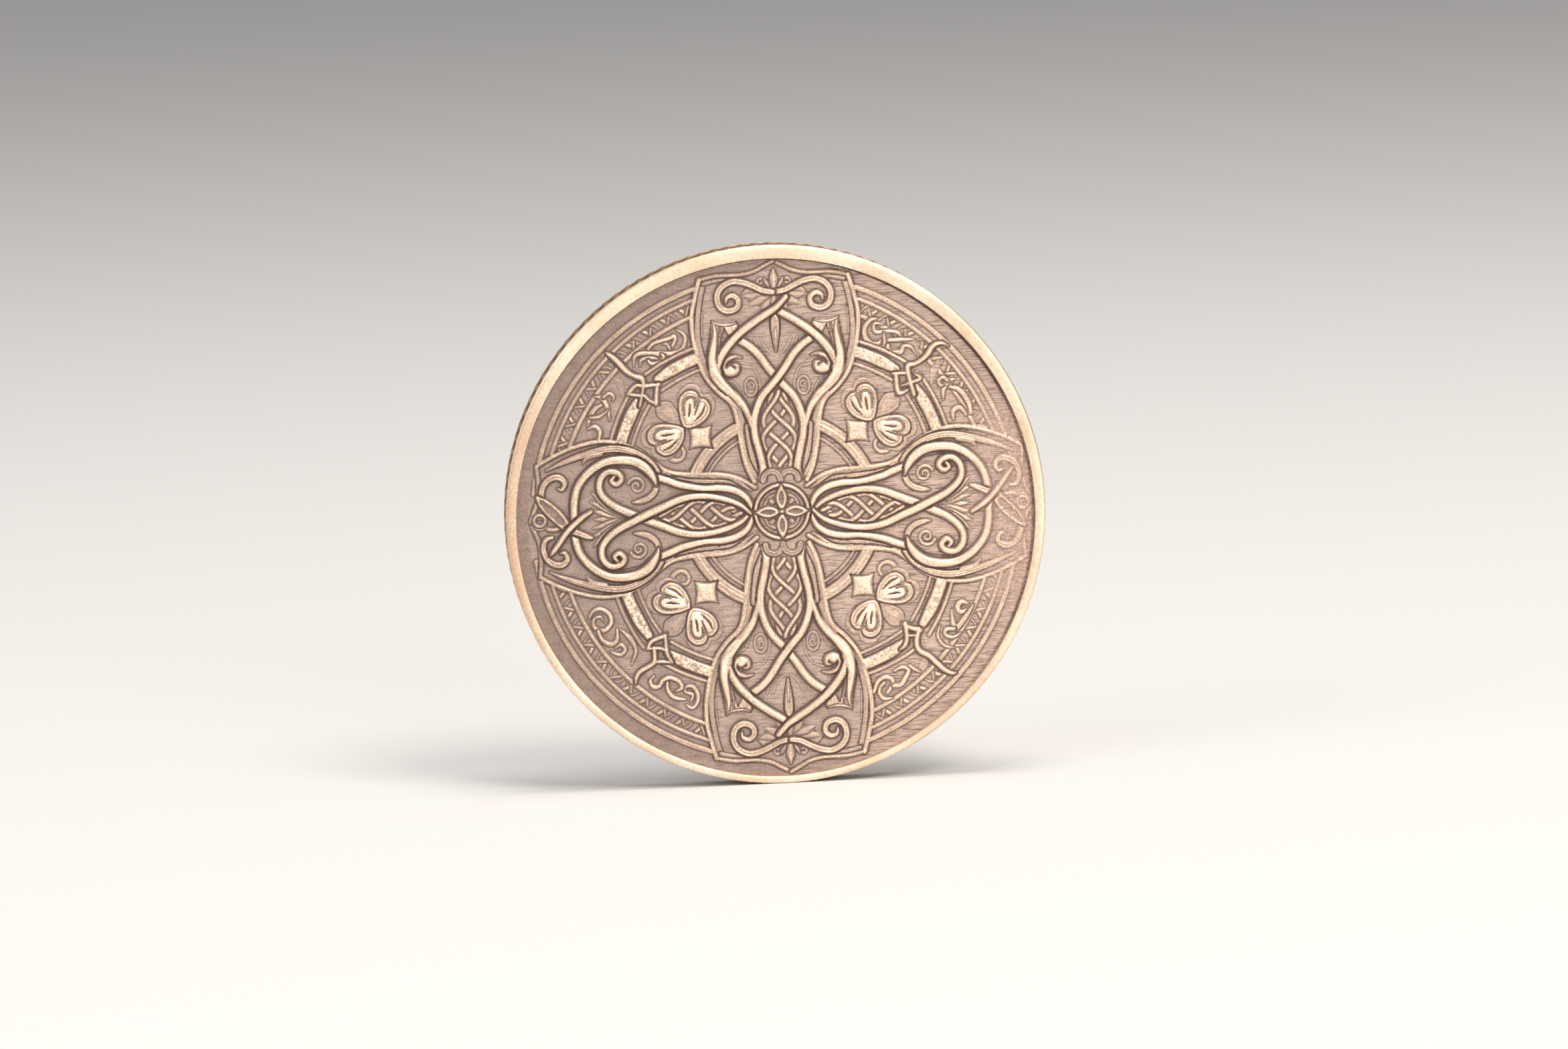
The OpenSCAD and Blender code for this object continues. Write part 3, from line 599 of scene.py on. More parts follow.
# ---------------------------------------------------------------- fields between the arms
# the lists are drawn for the upper right quadrant: first the stem that crosses the outer ring, then the parts
# of the buckle below it
CLASPS = {
    "upper_left": [[[12.5, 12.25, 0.2], [12.2, 12.05, 0.36], [11.85, 11.75, 0.42], [11.4, 11.25, 0.46],
                    [11.05, 10.85, 0.42], [10.55, 10.5, 0.36], [10.0, 10.3, 0.42], [9.85, 9.9, 0.34],
                    [9.95, 9.3, 0.26], [10.2, 8.25, 0.24]],
                   [[11.05, 9.15, 0.2], [10.75, 9.5, 0.32], [10.35, 9.8, 0.3], [9.8, 9.72, 0.3],
                    [8.7, 9.82, 0.26]],
                   [[8.85, 9.8, 0.34], [9.0, 8.4, 0.36]],
                   [[9.0, 8.38, 0.2], [9.45, 8.62, 0.24], [9.85, 9.0, 0.26], [10.4, 9.05, 0.26],
                    [11.05, 9.2, 0.2]]],
    "lower_left": [[[11.3, 12.3, 0.16], [11.2, 11.8, 0.34], [10.9, 11.4, 0.36], [10.35, 11.1, 0.34],
                    [9.88, 10.8, 0.34], [9.8, 10.2, 0.34], [9.84, 9.7, 0.3]],
                   [[10.3, 9.75, 0.26], [9.97, 9.2, 0.34], [8.97, 8.85, 0.3]],
                   [[8.97, 8.85, 0.26], [8.87, 10.15, 0.34], [8.5, 10.85, 0.2]],
                   [[10.3, 9.75, 0.2], [9.4, 9.75, 0.26], [8.9, 10.0, 0.2]],
                   [[9.88, 10.75, 0.24], [9.2, 10.75, 0.26], [8.5, 10.88, 0.14]]],
    "upper_right": [[[12.75, 11.75, 0.12], [12.3, 11.95, 0.26], [11.85, 11.9, 0.34], [11.5, 11.65, 0.42],
                     [11.2, 11.2, 0.42], [10.75, 10.8, 0.36], [10.2, 10.5, 0.32], [9.7, 10.35, 0.4],
                     [9.8, 9.4, 0.36], [10.1, 8.25, 0.34]],
                    [[8.55, 9.86, 0.22], [9.5, 9.85, 0.26]],
                    [[8.8, 9.85, 0.34], [8.95, 8.45, 0.36], [9.65, 8.6, 0.18]],
                    [[9.2, 8.92, 0.14], [9.8, 9.1, 0.24], [10.6, 9.4, 0.26], [10.2, 9.75, 0.14]]],
    "lower_right": [[[12.5, 12.6, 0.12], [12.2, 12.6, 0.28], [11.7, 12.35, 0.36], [11.2, 11.88, 0.42],
                     [10.55, 11.25, 0.4], [9.85, 10.8, 0.4], [9.65, 10.15, 0.4], [9.85, 9.2, 0.36]],
                    [[9.95, 9.3, 0.4], [9.1, 9.05, 0.32], [8.82, 8.8, 0.4]],
                    [[8.85, 8.8, 0.36], [8.95, 9.8, 0.34], [8.75, 10.4, 0.32], [8.4, 10.65, 0.16]],
                    [[8.95, 9.65, 0.2], [9.7, 9.65, 0.2]]],
}
# where each shamrock's leaves join
JOINTS = {"upper_left": (7.0, 6.5), "lower_left": (7.05, 6.9),
          "upper_right": (7.0, 6.45), "lower_right": (6.8, 6.9)}
# one leaf from its joint: a long tongue with a short petal beside it, and the dark slots between them
LEAF = [[0, 0], [0, 0], [0.22, 0.6], [0.34, 1.4], [0.26, 2.15], [-0.12, 2.62], [-0.6, 2.75], [-1.05, 2.55],
        [-1.22, 2.1], [-1.22, 2.1], [-1.65, 2.05], [-2.0, 1.5], [-1.85, 0.85], [-1.3, 0.3], [-0.6, 0.0]]
LEAF_SLOTS = [[[-0.06, 0.9, 0.04], [-0.02, 1.7, 0.15], [-0.25, 2.16, 0.19], [-0.66, 2.24, 0.19],
               [-0.9, 1.95, 0.15], [-0.82, 1.4, 0.04]],
              [[-0.5, 1.75, 0.04], [-0.47, 1.3, 0.12], [-0.38, 0.8, 0.03]],
              [[-1.2, 2.1, 0.2], [-1.08, 1.7, 0.15], [-0.82, 0.9, 0.03]],
              [[-1.6, 1.6, 0.04], [-1.36, 1.05, 0.13], [-0.8, 0.45, 0.03]]]
FUNNEL = [[0.1, 0.1], [0.1, 0.1], [0.45, 1.2], [0.95, 1.9], [1.65, 2.0], [1.65, 2.0], [1.65, 1.65],
          [2.0, 1.65], [2.0, 1.65], [1.9, 0.95], [1.2, 0.45]]
BLOCK = [[5.0, 4.95], [5.0, 4.95], [5.8, 5.05], [6.6, 4.95], [6.6, 4.95], [6.52, 5.75],
         [6.62, 6.55], [6.62, 6.55], [5.8, 6.45], [5.0, 6.55], [5.0, 6.55], [5.1, 5.75]]
CURL_AT = (7.55, 4.75)
# the knots of each panel, first beside the upright arm, then beside the side arm
KNOTS = {
    "upper_left": [
        [[9.5, 12.3, 0.22], [9.0, 12.85, 0.28], [7.95, 13.12, 0.3], [7.5, 13.3, 0.3], [7.4, 13.05, 0.28],
         [7.75, 12.35, 0.2]],
        [[8.35, 12.75, 0.1], [8.05, 12.75, 0.22], [7.8, 12.35, 0.2]],
        [[7.3, 13.75, 0.1], [6.85, 13.5, 0.22], [6.65, 13.1, 0.3], [6.85, 12.4, 0.3], [7.4, 12.08, 0.32],
         [8.6, 12.05, 0.36], [9.95, 12.13, 0.34], [10.45, 11.85, 0.28], [10.5, 11.2, 0.1]],
        [[10.05, 11.2, 0.1], [9.95, 11.68, 0.28], [9.2, 11.78, 0.28], [8.75, 11.68, 0.14]],
        [[9.45, 11.6, 0.2], [9.2, 11.36, 0.3], [8.55, 11.4, 0.34], [8.28, 11.8, 0.28], [8.45, 12.0, 0.16]],
        [[12.85, 8.5, 0.14], [13.55, 8.15, 0.36], [13.95, 7.4, 0.32], [14.1, 6.8, 0.1]],
        [[13.5, 9.1, 0.12], [12.95, 8.95, 0.32], [12.6, 8.3, 0.36], [12.45, 7.3, 0.12]],
        [[12.86, 9.0, 0.22], [12.45, 9.28, 0.24], [12.1, 9.05, 0.24], [12.2, 8.7, 0.1]],
        [[12.5, 8.1, 0.1], [13.2, 7.6, 0.26], [13.9, 7.55, 0.2]],
        [[14.1, 6.7, 0.1], [13.6, 6.9, 0.3], [13.2, 6.55, 0.34], [13.3, 5.9, 0.24]]],
    "lower_left": [
        [[7.26, 13.8, 0.16], [7.1, 13.3, 0.26], [7.65, 13.1, 0.22], [7.6, 12.72, 0.24], [7.08, 12.72, 0.3],
         [6.72, 13.28, 0.32], [6.8, 13.95, 0.3], [7.2, 14.3, 0.26], [7.6, 14.05, 0.12]],
        [[8.95, 12.2, 0.22], [8.9, 12.95, 0.32], [8.4, 13.5, 0.32], [7.6, 13.65, 0.14]],
        [[9.9, 11.8, 0.14], [10.2, 12.16, 0.28], [10.0, 12.6, 0.32], [9.55, 12.56, 0.34], [9.24, 12.12, 0.34],
         [8.7, 11.98, 0.34], [8.05, 12.3, 0.32], [7.9, 12.78, 0.3], [8.36, 13.0, 0.12]],
        [[14.55, 7.3, 0.14], [14.2, 6.75, 0.28], [13.6, 6.65, 0.32], [13.0, 7.1, 0.34], [12.95, 7.75, 0.34],
         [13.5, 8.25, 0.34], [14.15, 8.0, 0.3], [14.2, 7.4, 0.24], [13.7, 7.2, 0.2], [13.5, 7.6, 0.1]],
        [[13.9, 8.3, 0.26], [13.6, 8.95, 0.32], [13.0, 9.3, 0.34], [12.55, 9.0, 0.32], [12.5, 8.2, 0.16]],
        [[13.05, 9.85, 0.12], [12.35, 10.1, 0.28], [11.96, 9.73, 0.28], [12.25, 9.34, 0.26],
         [12.7, 9.6, 0.12]],
        [[12.3, 8.2, 0.08], [11.62, 8.83, 0.36], [11.27, 9.45, 0.3], [11.2, 10.0, 0.26], [11.55, 10.9, 0.1]]],
    "upper_right": [
        [[7.5, 13.95, 0.12], [7.05, 13.88, 0.28], [6.6, 13.3, 0.36], [6.65, 12.6, 0.38], [7.1, 12.12, 0.34],
         [7.6, 12.15, 0.28], [7.9, 12.5, 0.12]],
        [[7.95, 13.5, 0.1], [7.35, 13.6, 0.22], [7.4, 13.0, 0.28], [8.4, 13.0, 0.26], [9.1, 12.82, 0.26],
         [9.3, 12.4, 0.12]],
        [[8.28, 11.95, 0.28], [8.4, 11.47, 0.36], [9.2, 11.42, 0.36], [9.45, 11.85, 0.28], [10.0, 11.75, 0.2],
         [10.35, 11.2, 0.1]],
        [[7.95, 12.32, 0.26], [9.2, 12.35, 0.3], [10.2, 12.32, 0.12]],
        [[8.0, 12.9, 0.1], [8.05, 12.3, 0.24], [7.95, 11.9, 0.12]],
        [[12.7, 8.7, 0.16], [13.5, 8.4, 0.38], [14.1, 7.5, 0.38], [14.25, 6.7, 0.3]],
        [[13.15, 9.25, 0.1], [12.65, 9.1, 0.32], [12.3, 8.6, 0.36], [12.25, 7.8, 0.12]],
        [[12.6, 9.15, 0.24], [12.3, 9.42, 0.26], [11.95, 9.2, 0.28], [12.05, 8.85, 0.24], [12.35, 8.85, 0.1]],
        [[13.9, 6.6, 0.2], [13.45, 7.15, 0.34], [12.95, 6.9, 0.34], [12.95, 6.3, 0.2]]],
    "lower_right": [
        [[7.15, 13.1, 0.24], [6.82, 13.4, 0.28], [6.75, 13.85, 0.3], [7.1, 14.28, 0.28], [7.7, 14.26, 0.1]],
        [[6.35, 13.76, 0.26], [6.7, 12.95, 0.32], [7.25, 12.67, 0.32], [7.75, 12.9, 0.32], [7.72, 13.3, 0.3],
         [7.35, 13.85, 0.26]],
        [[7.8, 13.35, 0.26], [8.35, 13.3, 0.36], [8.75, 12.75, 0.36], [8.98, 12.2, 0.3], [8.45, 12.0, 0.24],
         [7.93, 12.25, 0.2]],
        [[9.05, 11.9, 0.2], [9.45, 12.2, 0.24], [9.9, 12.45, 0.1]],
        [[13.6, 7.5, 0.12], [13.1, 7.3, 0.34], [12.8, 7.6, 0.4], [12.93, 8.05, 0.36], [13.5, 7.95, 0.24]],
        [[12.33, 7.87, 0.1], [12.4, 8.8, 0.36], [12.6, 9.3, 0.38], [13.35, 8.45, 0.38], [13.95, 7.6, 0.12]],
        [[12.5, 9.3, 0.26], [11.9, 9.33, 0.3], [11.8, 9.7, 0.28], [12.33, 9.93, 0.26], [12.95, 9.65, 0.1]],
        [[11.4, 9.1, 0.1], [11.25, 9.8, 0.24], [11.7, 10.52, 0.22], [12.4, 10.7, 0.1]]],
}
# how bright the metal of each quadrant's shamrock, clasp and knots is: wear, with a painted highlight on the
# brightest
WEAR_AND_GLINT = {"upper_left": 0.95, "lower_left": 1.05, "upper_right": 0.9, "lower_right": 1.05}
FRIEZE_R = (16.15, 17.25, 18.0)
FRIEZE_PITCH = 5.3
# the hammered band's middle line spirals out a little from the arms to the clasp
BAND_R = (12.85, 13.45)


def engrave_field(relief, name, sx, sy):
    """Draws the rings, clasp, shamrock, knots and frieze of one quadrant."""
    cx, cy = relief.centre[0] * sx, relief.centre[1] * sy
    worn = WEAR_AND_GLINT[name]
    pen = Pen(relief, sx, sy)
    put, fill = pen.one, pen.fill

    def polar(radius, degrees, width):
        a = math.radians(degrees)
        return [cx + radius * math.cos(a), cy + radius * math.sin(a), width]

    # frieze: three rings about the recess centre, with struts and hooks between two of them
    inner, middle, outer = FRIEZE_R
    for turn in np.arange(16, 74, FRIEZE_PITCH):
        step = FRIEZE_PITCH if turn < 45 else -FRIEZE_PITCH
        put([polar(inner, turn, 0.32), polar(middle, turn + 0.42 * step, 0.24)],
            0.13, flat, tone=0.85, groove=0.1)
        put([polar(inner, turn + 0.3 * step, 0.2), polar(middle, turn - 0.25 * step, 0.17)],
            0.11, flat, tone=0.75, groove=0.08)
        put([polar(inner + 0.1, turn + 0.62 * step, 0.14), polar(inner + 0.55, turn + 0.7 * step, 0.13),
             polar(middle - 0.22, turn + 0.88 * step, 0.16), polar(middle - 0.1, turn + 1.1 * step, 0.12)],
            0.12, flat, tone=0.7, groove=0.09)
    for radius, width, tone in ((inner, 0.32, 0.8), (middle, 0.3, 0.7), (outer, 0.38, 0.75)):
        ring = [polar(radius, turn, width) for turn in np.arange(8, 84, 5)]
        put(ring, 0.13, double_edge, tone=tone, groove=0.1, depth=0.06)
    # faint leaves behind the knots
    for leaf in ([[12.05, 10.4, 0.08], [11.6, 9.95, 0.5], [11.4, 9.0, 0.2]],
                 [[9.8, 12.5, 0.08], [10.1, 11.9, 0.6], [10.5, 11.0, 0.2]]):
        put(leaf, 0.05, double_edge, tone=0.4, groove=0.07, depth=0.04)
    for line in KNOTS[name]:
        put(line, 0.17, double_edge, tone=worn, groove=0.1, depth=0.06)
    # outer ring: a hammered band between two fine lines, on each side of the clasp
    for start, end in ((68, 47.5), (22, 42.5)):
        put(spiral((0, 0), 11.95, 12.65, start, end, 0.24, 0.24), 0.1, double_edge, tone=0.6, groove=0.1)
        put(spiral((0, 0), 13.6, 14.35, start, end, 0.26, 0.26), 0.12, double_edge, tone=0.75, groove=0.1)
        band = spiral((0, 0), *BAND_R, start, end + (start - end) * 0.08, 0.86, 0.86)
        band[-1][2] = 0.6
        put(band, 0.17, flat, tone=1.05, groove=0.14, streak=0.15)
    put(arc(6.11, 10, 80, 0.2), 0.1, flat, tone=0.55, groove=0.1)
    put(arc(7.0, 10, 80, 0.84), 0.19, fluted, tone=0.85, groove=0.14)
    # block and curl behind the shamrock
    fill(BLOCK, 0.16, domed, tone=0.95 * worn, groove=0.1, streak=0.25)
    put(spiral(CURL_AT, 0.86, 0.3, 40, -290, 0.38, 0.22), 0.12, double_edge, tone=0.75, groove=0.09)
    # shamrock: two leaves either side of a faint funnel, each with a faint ring round it
    jx, jy = JOINTS[name]

    def at_joint(points, grow=1.0):
        return [[jx + grow * p[0], jy + grow * p[1], *p[2:]] for p in points]

    for turn in (list, swapped):
        fill(at_joint(turn(LEAF), 1.17), 0.07, double_edge, tone=0.5, groove=0.08, depth=0.05)
    fill(at_joint(FUNNEL), 0.09, leafed, tone=0.6, groove=0.1, lean=45 * sx * sy)
    for turn, lean in ((list, 100), (swapped, -10)):
        fill(at_joint(turn(LEAF)), 0.25, leafed, tone=1.25 * worn, groove=0.11,
             lean=lean * sx * sy, streak=0.35)
        for slot in LEAF_SLOTS:
            put(at_joint(turn(slot)), 0.06, flat, tone=0.1, groove=0.02, depth=0.02)
    # the leaves are polished where they join, with a painted highlight there
    x, y = relief.grid()
    relief.tone *= 1 + (worn - 0.7) * np.exp(-np.hypot(x * sx - jx, y * sy - jy) ** 2 / 1.6)
    # clasp: a stem that crosses the ring and a four-sided buckle
    stem, *buckle = CLASPS[name]
    for line in buckle:
        put(line, 0.2, flat, tone=0.95 * worn, groove=0.12)
    put(stem, 0.23, flat, tone=worn, groove=0.12)
    for line in buckle:
        put(line, 0.2, flat, tone=0.95 * worn, groove=0.01, depth=0, join=True)


# ---------------------------------------------------------------- centre boss
BOSS_R = 1.96
BOSS_CLEAR_R = BOSS_R + 0.25
BOSS_TILE_R = BOSS_R + 0.22
PETAL = [[0.12, 0, 0.1], [0.55, 0, 0.6], [1, 0, 0.84], [1.45, 0, 0.6], [1.95, 0, 0.1]]
PETAL_EYE = [[0.5, 0, 0.06], [0.75, 0, 0.3], [1.02, 0, 0.42], [1.3, 0, 0.3], [1.55, 0, 0.06]]


def engrave_boss(relief):
    """Draws the ring, the four petals with their eyes and the bits between them."""
    x, y = relief.grid()
    relief.clear(np.hypot(x, y) < BOSS_CLEAR_R)
    for turn in (45, 135, 225, 315):
        relief.stroke(turned(arc(0.95, -32, 32, 0.18, (0.42, 0)), turn), 0.11, flat, tone=0.55)
        relief.stroke(turned([[0.95, 0, 0.3], [1.1, 0, 0.3]], turn), 0.09, domed, tone=0.5)
    relief.stroke(arc(BOSS_R, 0, 360, 0.26), 0.27, double_edge, tone=1, groove=0.14, depth=0.08)
    for turn in (0, 90, 180, 270):
        relief.stroke(turned(PETAL, turn), 0.27, flat, tone=1, groove=0.1)
        relief.stroke(turned(PETAL_EYE, turn), 0.03, flat, tone=0.05, groove=0.01, depth=0)
        for out in (0.75, 1.02, 1.3):
            bead = turned([[out - 0.04, 0, 0.17], [out + 0.04, 0, 0.17]], turn)
            relief.stroke(bead, 0.15, domed, tone=0.7, groove=0.03, depth=0.02)
    relief.stroke([[-0.05, 0, 0.34], [0.05, 0, 0.34]], 0.29, domed, tone=0.85, groove=0.06)


# ---------------------------------------------------------------- the front and back as tiles
def engrave_front():
    """The whole front as one height map, and where each arm lies on it."""
    sizes = bpy.context.scene.coin_sizes
    relief = Relief(sizes.front_pitch, (-ART_X / SCALE, (RECESS_Z - ART_Z) / SCALE), 7)
    for name, (sx, sy) in QUADRANTS.items():
        engrave_field(relief, name, sx, sy)
    stretch = sizes.bottom_stretch
    upright, side = upright_outline(), side_outline()
    outlines = {
        "right": side, "left": side * [-1, -1],
        "top": upright, "bottom": upright * [-1, -stretch],
    }
    masks = {arm: inside_outline(outline, *relief.grid()) for arm, outline in outlines.items()}
    for arm in ("right", "left"):
        relief.clear(masks[arm])
    engrave_side(relief, 1)
    engrave_side(relief, -1)
    for arm in ("top", "bottom"):
        relief.clear(masks[arm])
    engrave_upright(relief, 1, 1)
    engrave_upright(relief, -1, -stretch)
    engrave_boss(relief)
    finish_front(relief)
    return relief, masks


def finish_front(relief):
    """Hammers the outer ring, wears the right end of the right arm and softens everything a little."""
    x, y = relief.grid()
    # the hammered band, found by its place and its height
    off_axis = np.degrees(np.arctan2(np.minimum(np.abs(x), np.abs(y)), np.maximum(np.abs(x), np.abs(y))))
    middle = BAND_R[0] + 0.6 * (off_axis - 22) / 20.5
    band = smooth((0.45 - np.abs(np.hypot(x, y) - middle)) / 0.1)
    band = band * (relief.height > 0.1) * (relief.height < 0.18)
    rough = relief.grain(x / 0.17, y / 0.17) * 0.6 + relief.grain(x / 0.08 + 9, y / 0.08) * 0.4
    relief.height += band * (rough - 0.5) * 0.15
    relief.tone *= 1 - band * np.clip(2.2 * (0.56 - rough), 0, 0.7)
    relief.dark += band * np.clip(0.4 - rough, 0, 0.5)
    # the rubbed end of the right arm
    fade = smooth((x - ARM_FADE[0]) / (ARM_FADE[1] - ARM_FADE[0])) * smooth((9.5 - np.abs(y)) / 4)
    relief.fade = fade.astype(np.float32)
    relief.height *= 1 - 0.45 * fade
    relief.height += fade * (relief.grain(x / 0.11, y / 0.1) - 0.5) * 0.06
    relief.dark *= 1 - 0.75 * fade
    relief.tone = relief.tone * (1 - 0.12 * fade) + fade * 0.2 * relief.grain(x / 0.16, y / 0.12)
    # the flat ring outside the frieze, darker towards the left, and the painted shadow at the foot of the
    # recess wall
    round_centre = np.hypot(x - relief.centre[0], y - relief.centre[1])
    band = smooth((round_centre - FRIEZE_R[2] - 0.2) / 0.15) * (relief.height < 0.02)
    relief.dark = np.maximum(relief.dark, band * (0.34 - 0.1 * smooth(x / 12)))
    # painted shadow along the foot of the recess wall, heaviest at the top and right
    foot = smooth((round_centre - DRAWN_R + 0.12 + 0.14 * smooth(x / 15)) / 0.08)
    relief.dark = np.maximum(relief.dark, foot * (0.4 + 0.6 * smooth((y + 0.5 * x + 8) / 14)))
    relief.soften(6)


def engrave_back():
    """The plain reverse: bead lines, a rope border and an endless knot."""
    relief = Relief(bpy.context.scene.coin_sizes.back_pitch, (0, 0), 11)
    for radius in (14.6, 18.5):
        relief.stroke(arc(radius, 0, 360, 0.34), 0.18, rounded, tone=0.9)
    rope(relief, 16.6, 13)
    lobes, laps = 8, 3
    star = [(6.6 + 3.4 * math.cos(math.radians(lobes * a / laps)), a) for a in range(0, 360 * laps, 3)]
    points = [[r * math.cos(math.radians(a)), r * math.sin(math.radians(a)), 1.0] for r, a in star]
    points.append(points[0])
    relief.stroke(points, 0.2, fluted, tone=0.9)
    over_spans(relief, points, 2 * lobes * (laps - 1))
    for turn in range(0, 360, 45):
        relief.stroke(turned([[0.3, 0, 0.1], [1, 0, 0.5], [1.8, 0, 0.1]], turn), 0.15, ridged, tone=0.8)
    relief.stroke(arc(2.3, 0, 360, 0.26), 0.16, rounded, tone=0.85)
    relief.stroke([[-0.1, 0, 0.6], [0.1, 0, 0.6]], 0.25, domed, tone=1)
    for turn in range(0, 360, 5):
        dart = turned([[12.6, 0, 0.06], [13.2, 0, 0.34], [13.8, 0, 0.06]], turn)
        relief.stroke(dart, 0.12, ridged, tone=0.7)
    relief.soften(4)
    return relief


def rope(relief, radius, waves):
    """A border of two waves that go over and under each other in turn."""
    half = 180 / waves
    for over in (False, True):
        for lane in (0, 1):
            for i in range(2 * waves):
                if (i % 2 == lane) != over:
                    continue
                points = []
                for a in np.linspace((i - 0.55) * half, (i + 0.55) * half, 14):
                    r = radius + math.sin(math.radians(waves * a + 180 * lane))
                    points.append([r * math.cos(math.radians(a)), r * math.sin(math.radians(a)), 0.62])
                relief.stroke(points, 0.28 if over else 0.22, rounded, part=(CUT, 1 - CUT))


def over_spans(relief, points, crossings):
    """Lays every second crossing of the endless knot over the strand that it crosses."""
    count = len(points)
    for i in range(0, crossings, 2):
        middle = (i + 0.5) / crossings
        a, b = middle - 0.3 / crossings, middle + 0.3 / crossings
        span = points[int(a * count):int(b * count) + 1]
        relief.stroke(span, 0.3, fluted, tone=1, part=(CUT, 1 - CUT))


def regions(relief, masks):
    """Which tile each lattice square belongs to: the boss, an arm or a quadrant."""
    x, y = relief.grid()
    names = ["boss"] + ["arm_" + a for a in ARMS] + ["field_" + q for q in QUADRANTS]
    owner = np.full(x.shape, -1)
    for name, (sx, sy) in QUADRANTS.items():
        owner[(x * sx >= 0) & (y * sy >= 0)] = names.index("field_" + name)
    for arm, mask in masks.items():
        owner[mask] = names.index("arm_" + arm)
    owner[np.hypot(x, y) < BOSS_TILE_R] = names.index("boss")
    cx, cy = relief.centre
    owner[np.hypot(x - cx, y - cy) > DRAWN_R + TILE_EXTRA] = -1
    return names, owner[:-1, :-1]


def tidied(mask):
    """Fills the squares where a tile would touch itself only at a corner."""
    mask = mask.copy()
    for _ in range(6):
        a, b, c, d = mask[:-1, :-1], mask[1:, :-1], mask[:-1, 1:], mask[1:, 1:]
        slash, back = a & d & ~b & ~c, b & c & ~a & ~d
        if not (slash.any() or back.any()):
            break
        mask[1:, :-1] |= slash
        mask[:-1, :-1] |= back
    return mask


# ---------------------------------------------------------------- mesh making
def deselect():
    """Leaves edit mode and selects nothing."""
    if bpy.context.object and bpy.context.object.mode != "OBJECT":
        bpy.ops.object.mode_set(mode="OBJECT")
    bpy.ops.object.select_all(action="DESELECT")


def points_of(mesh):
    """A mesh's vertices as an array of rows."""
    co = np.empty(len(mesh.vertices) * 3, np.float32)
    mesh.vertices.foreach_get("co", co)
    return co.reshape(-1, 3)


def put_points(mesh, co):
    mesh.vertices.foreach_set("co", np.ascontiguousarray(co, np.float32).ravel())
    mesh.update()


def add_values(mesh, name, values):
    """A point attribute that materials read."""
    layer = mesh.attributes.new(name, "FLOAT", "POINT")
    layer.data.foreach_set("value", np.ascontiguousarray(values, np.float32))


def make_tile(name, relief, mask, field_h, core_h, facing):
    """One closed tile of relief: a grid cut to its region, given its heights, with walls and a floor.
    facing is -1 for the front, which looks along -Y, and 1 for the back."""
    rows, columns = np.where(mask)
    r0, r1, c0, c1 = rows.min(), rows.max() + 1, columns.min(), columns.max() + 1
    deselect()
    bpy.ops.mesh.primitive_grid_add(x_subdivisions=int(c1 - c0), y_subdivisions=int(r1 - r0), size=2)
    tile = bpy.context.object
    tile.name = tile.data.name = name
    mesh = tile.data
    steps = np.array([c1 - c0, r1 - r0]) / 2
    centres = np.empty(len(mesh.polygons) * 3, np.float32)
    mesh.polygons.foreach_get("center", centres)
    place = np.floor((centres.reshape(-1, 3)[:, :2] + 1) * steps).astype(int)
    outside = ~mask[place[:, 1] + r0, place[:, 0] + c0]
    bpy.ops.object.mode_set(mode="EDIT")
    bpy.ops.mesh.select_all(action="DESELECT")
    bpy.ops.mesh.select_mode(type="FACE")
    bpy.ops.object.mode_set(mode="OBJECT")
    mesh.polygons.foreach_set("select", outside)
    bpy.ops.object.mode_set(mode="EDIT")
    if outside.any():
        bpy.ops.mesh.delete(type="FACE")
    bpy.ops.mesh.select_mode(type="EDGE")
    bpy.ops.mesh.select_all(action="SELECT")
    bpy.ops.mesh.region_to_loop()
    bpy.ops.mesh.mark_sharp()
    bpy.ops.mesh.extrude_region_move(TRANSFORM_OT_translate={"value": (0, 0, -1)})
    bpy.ops.mesh.mark_sharp()
    bpy.ops.mesh.edge_face_add()
    bpy.ops.object.mode_set(mode="OBJECT")
    co = points_of(mesh)
    at = np.rint((co[:, :2] + 1) * steps).astype(int)
    row, column = at[:, 1] + r0, at[:, 0] + c0
    top = co[:, 2] > -0.5
    height = np.where(top, field_h + relief.height[row, column], core_h)
    x = relief.u[column] * SCALE
    z = relief.v[row] * SCALE
    if facing < 0:
        placed = np.stack([x + ART_X, -height, z + ART_Z], axis=1)
    else:
        placed = np.stack([-x, height, z + RECESS_Z], axis=1)
    put_points(mesh, placed * MM)
    layers = {"worn": relief.tone, "patina_and_shadow": relief.dark, "rise": relief.rise, "fade": relief.fade}
    for label, layer in layers.items():
        add_values(mesh, label, layer[row, column])
    bpy.ops.object.shade_smooth()
    return tile


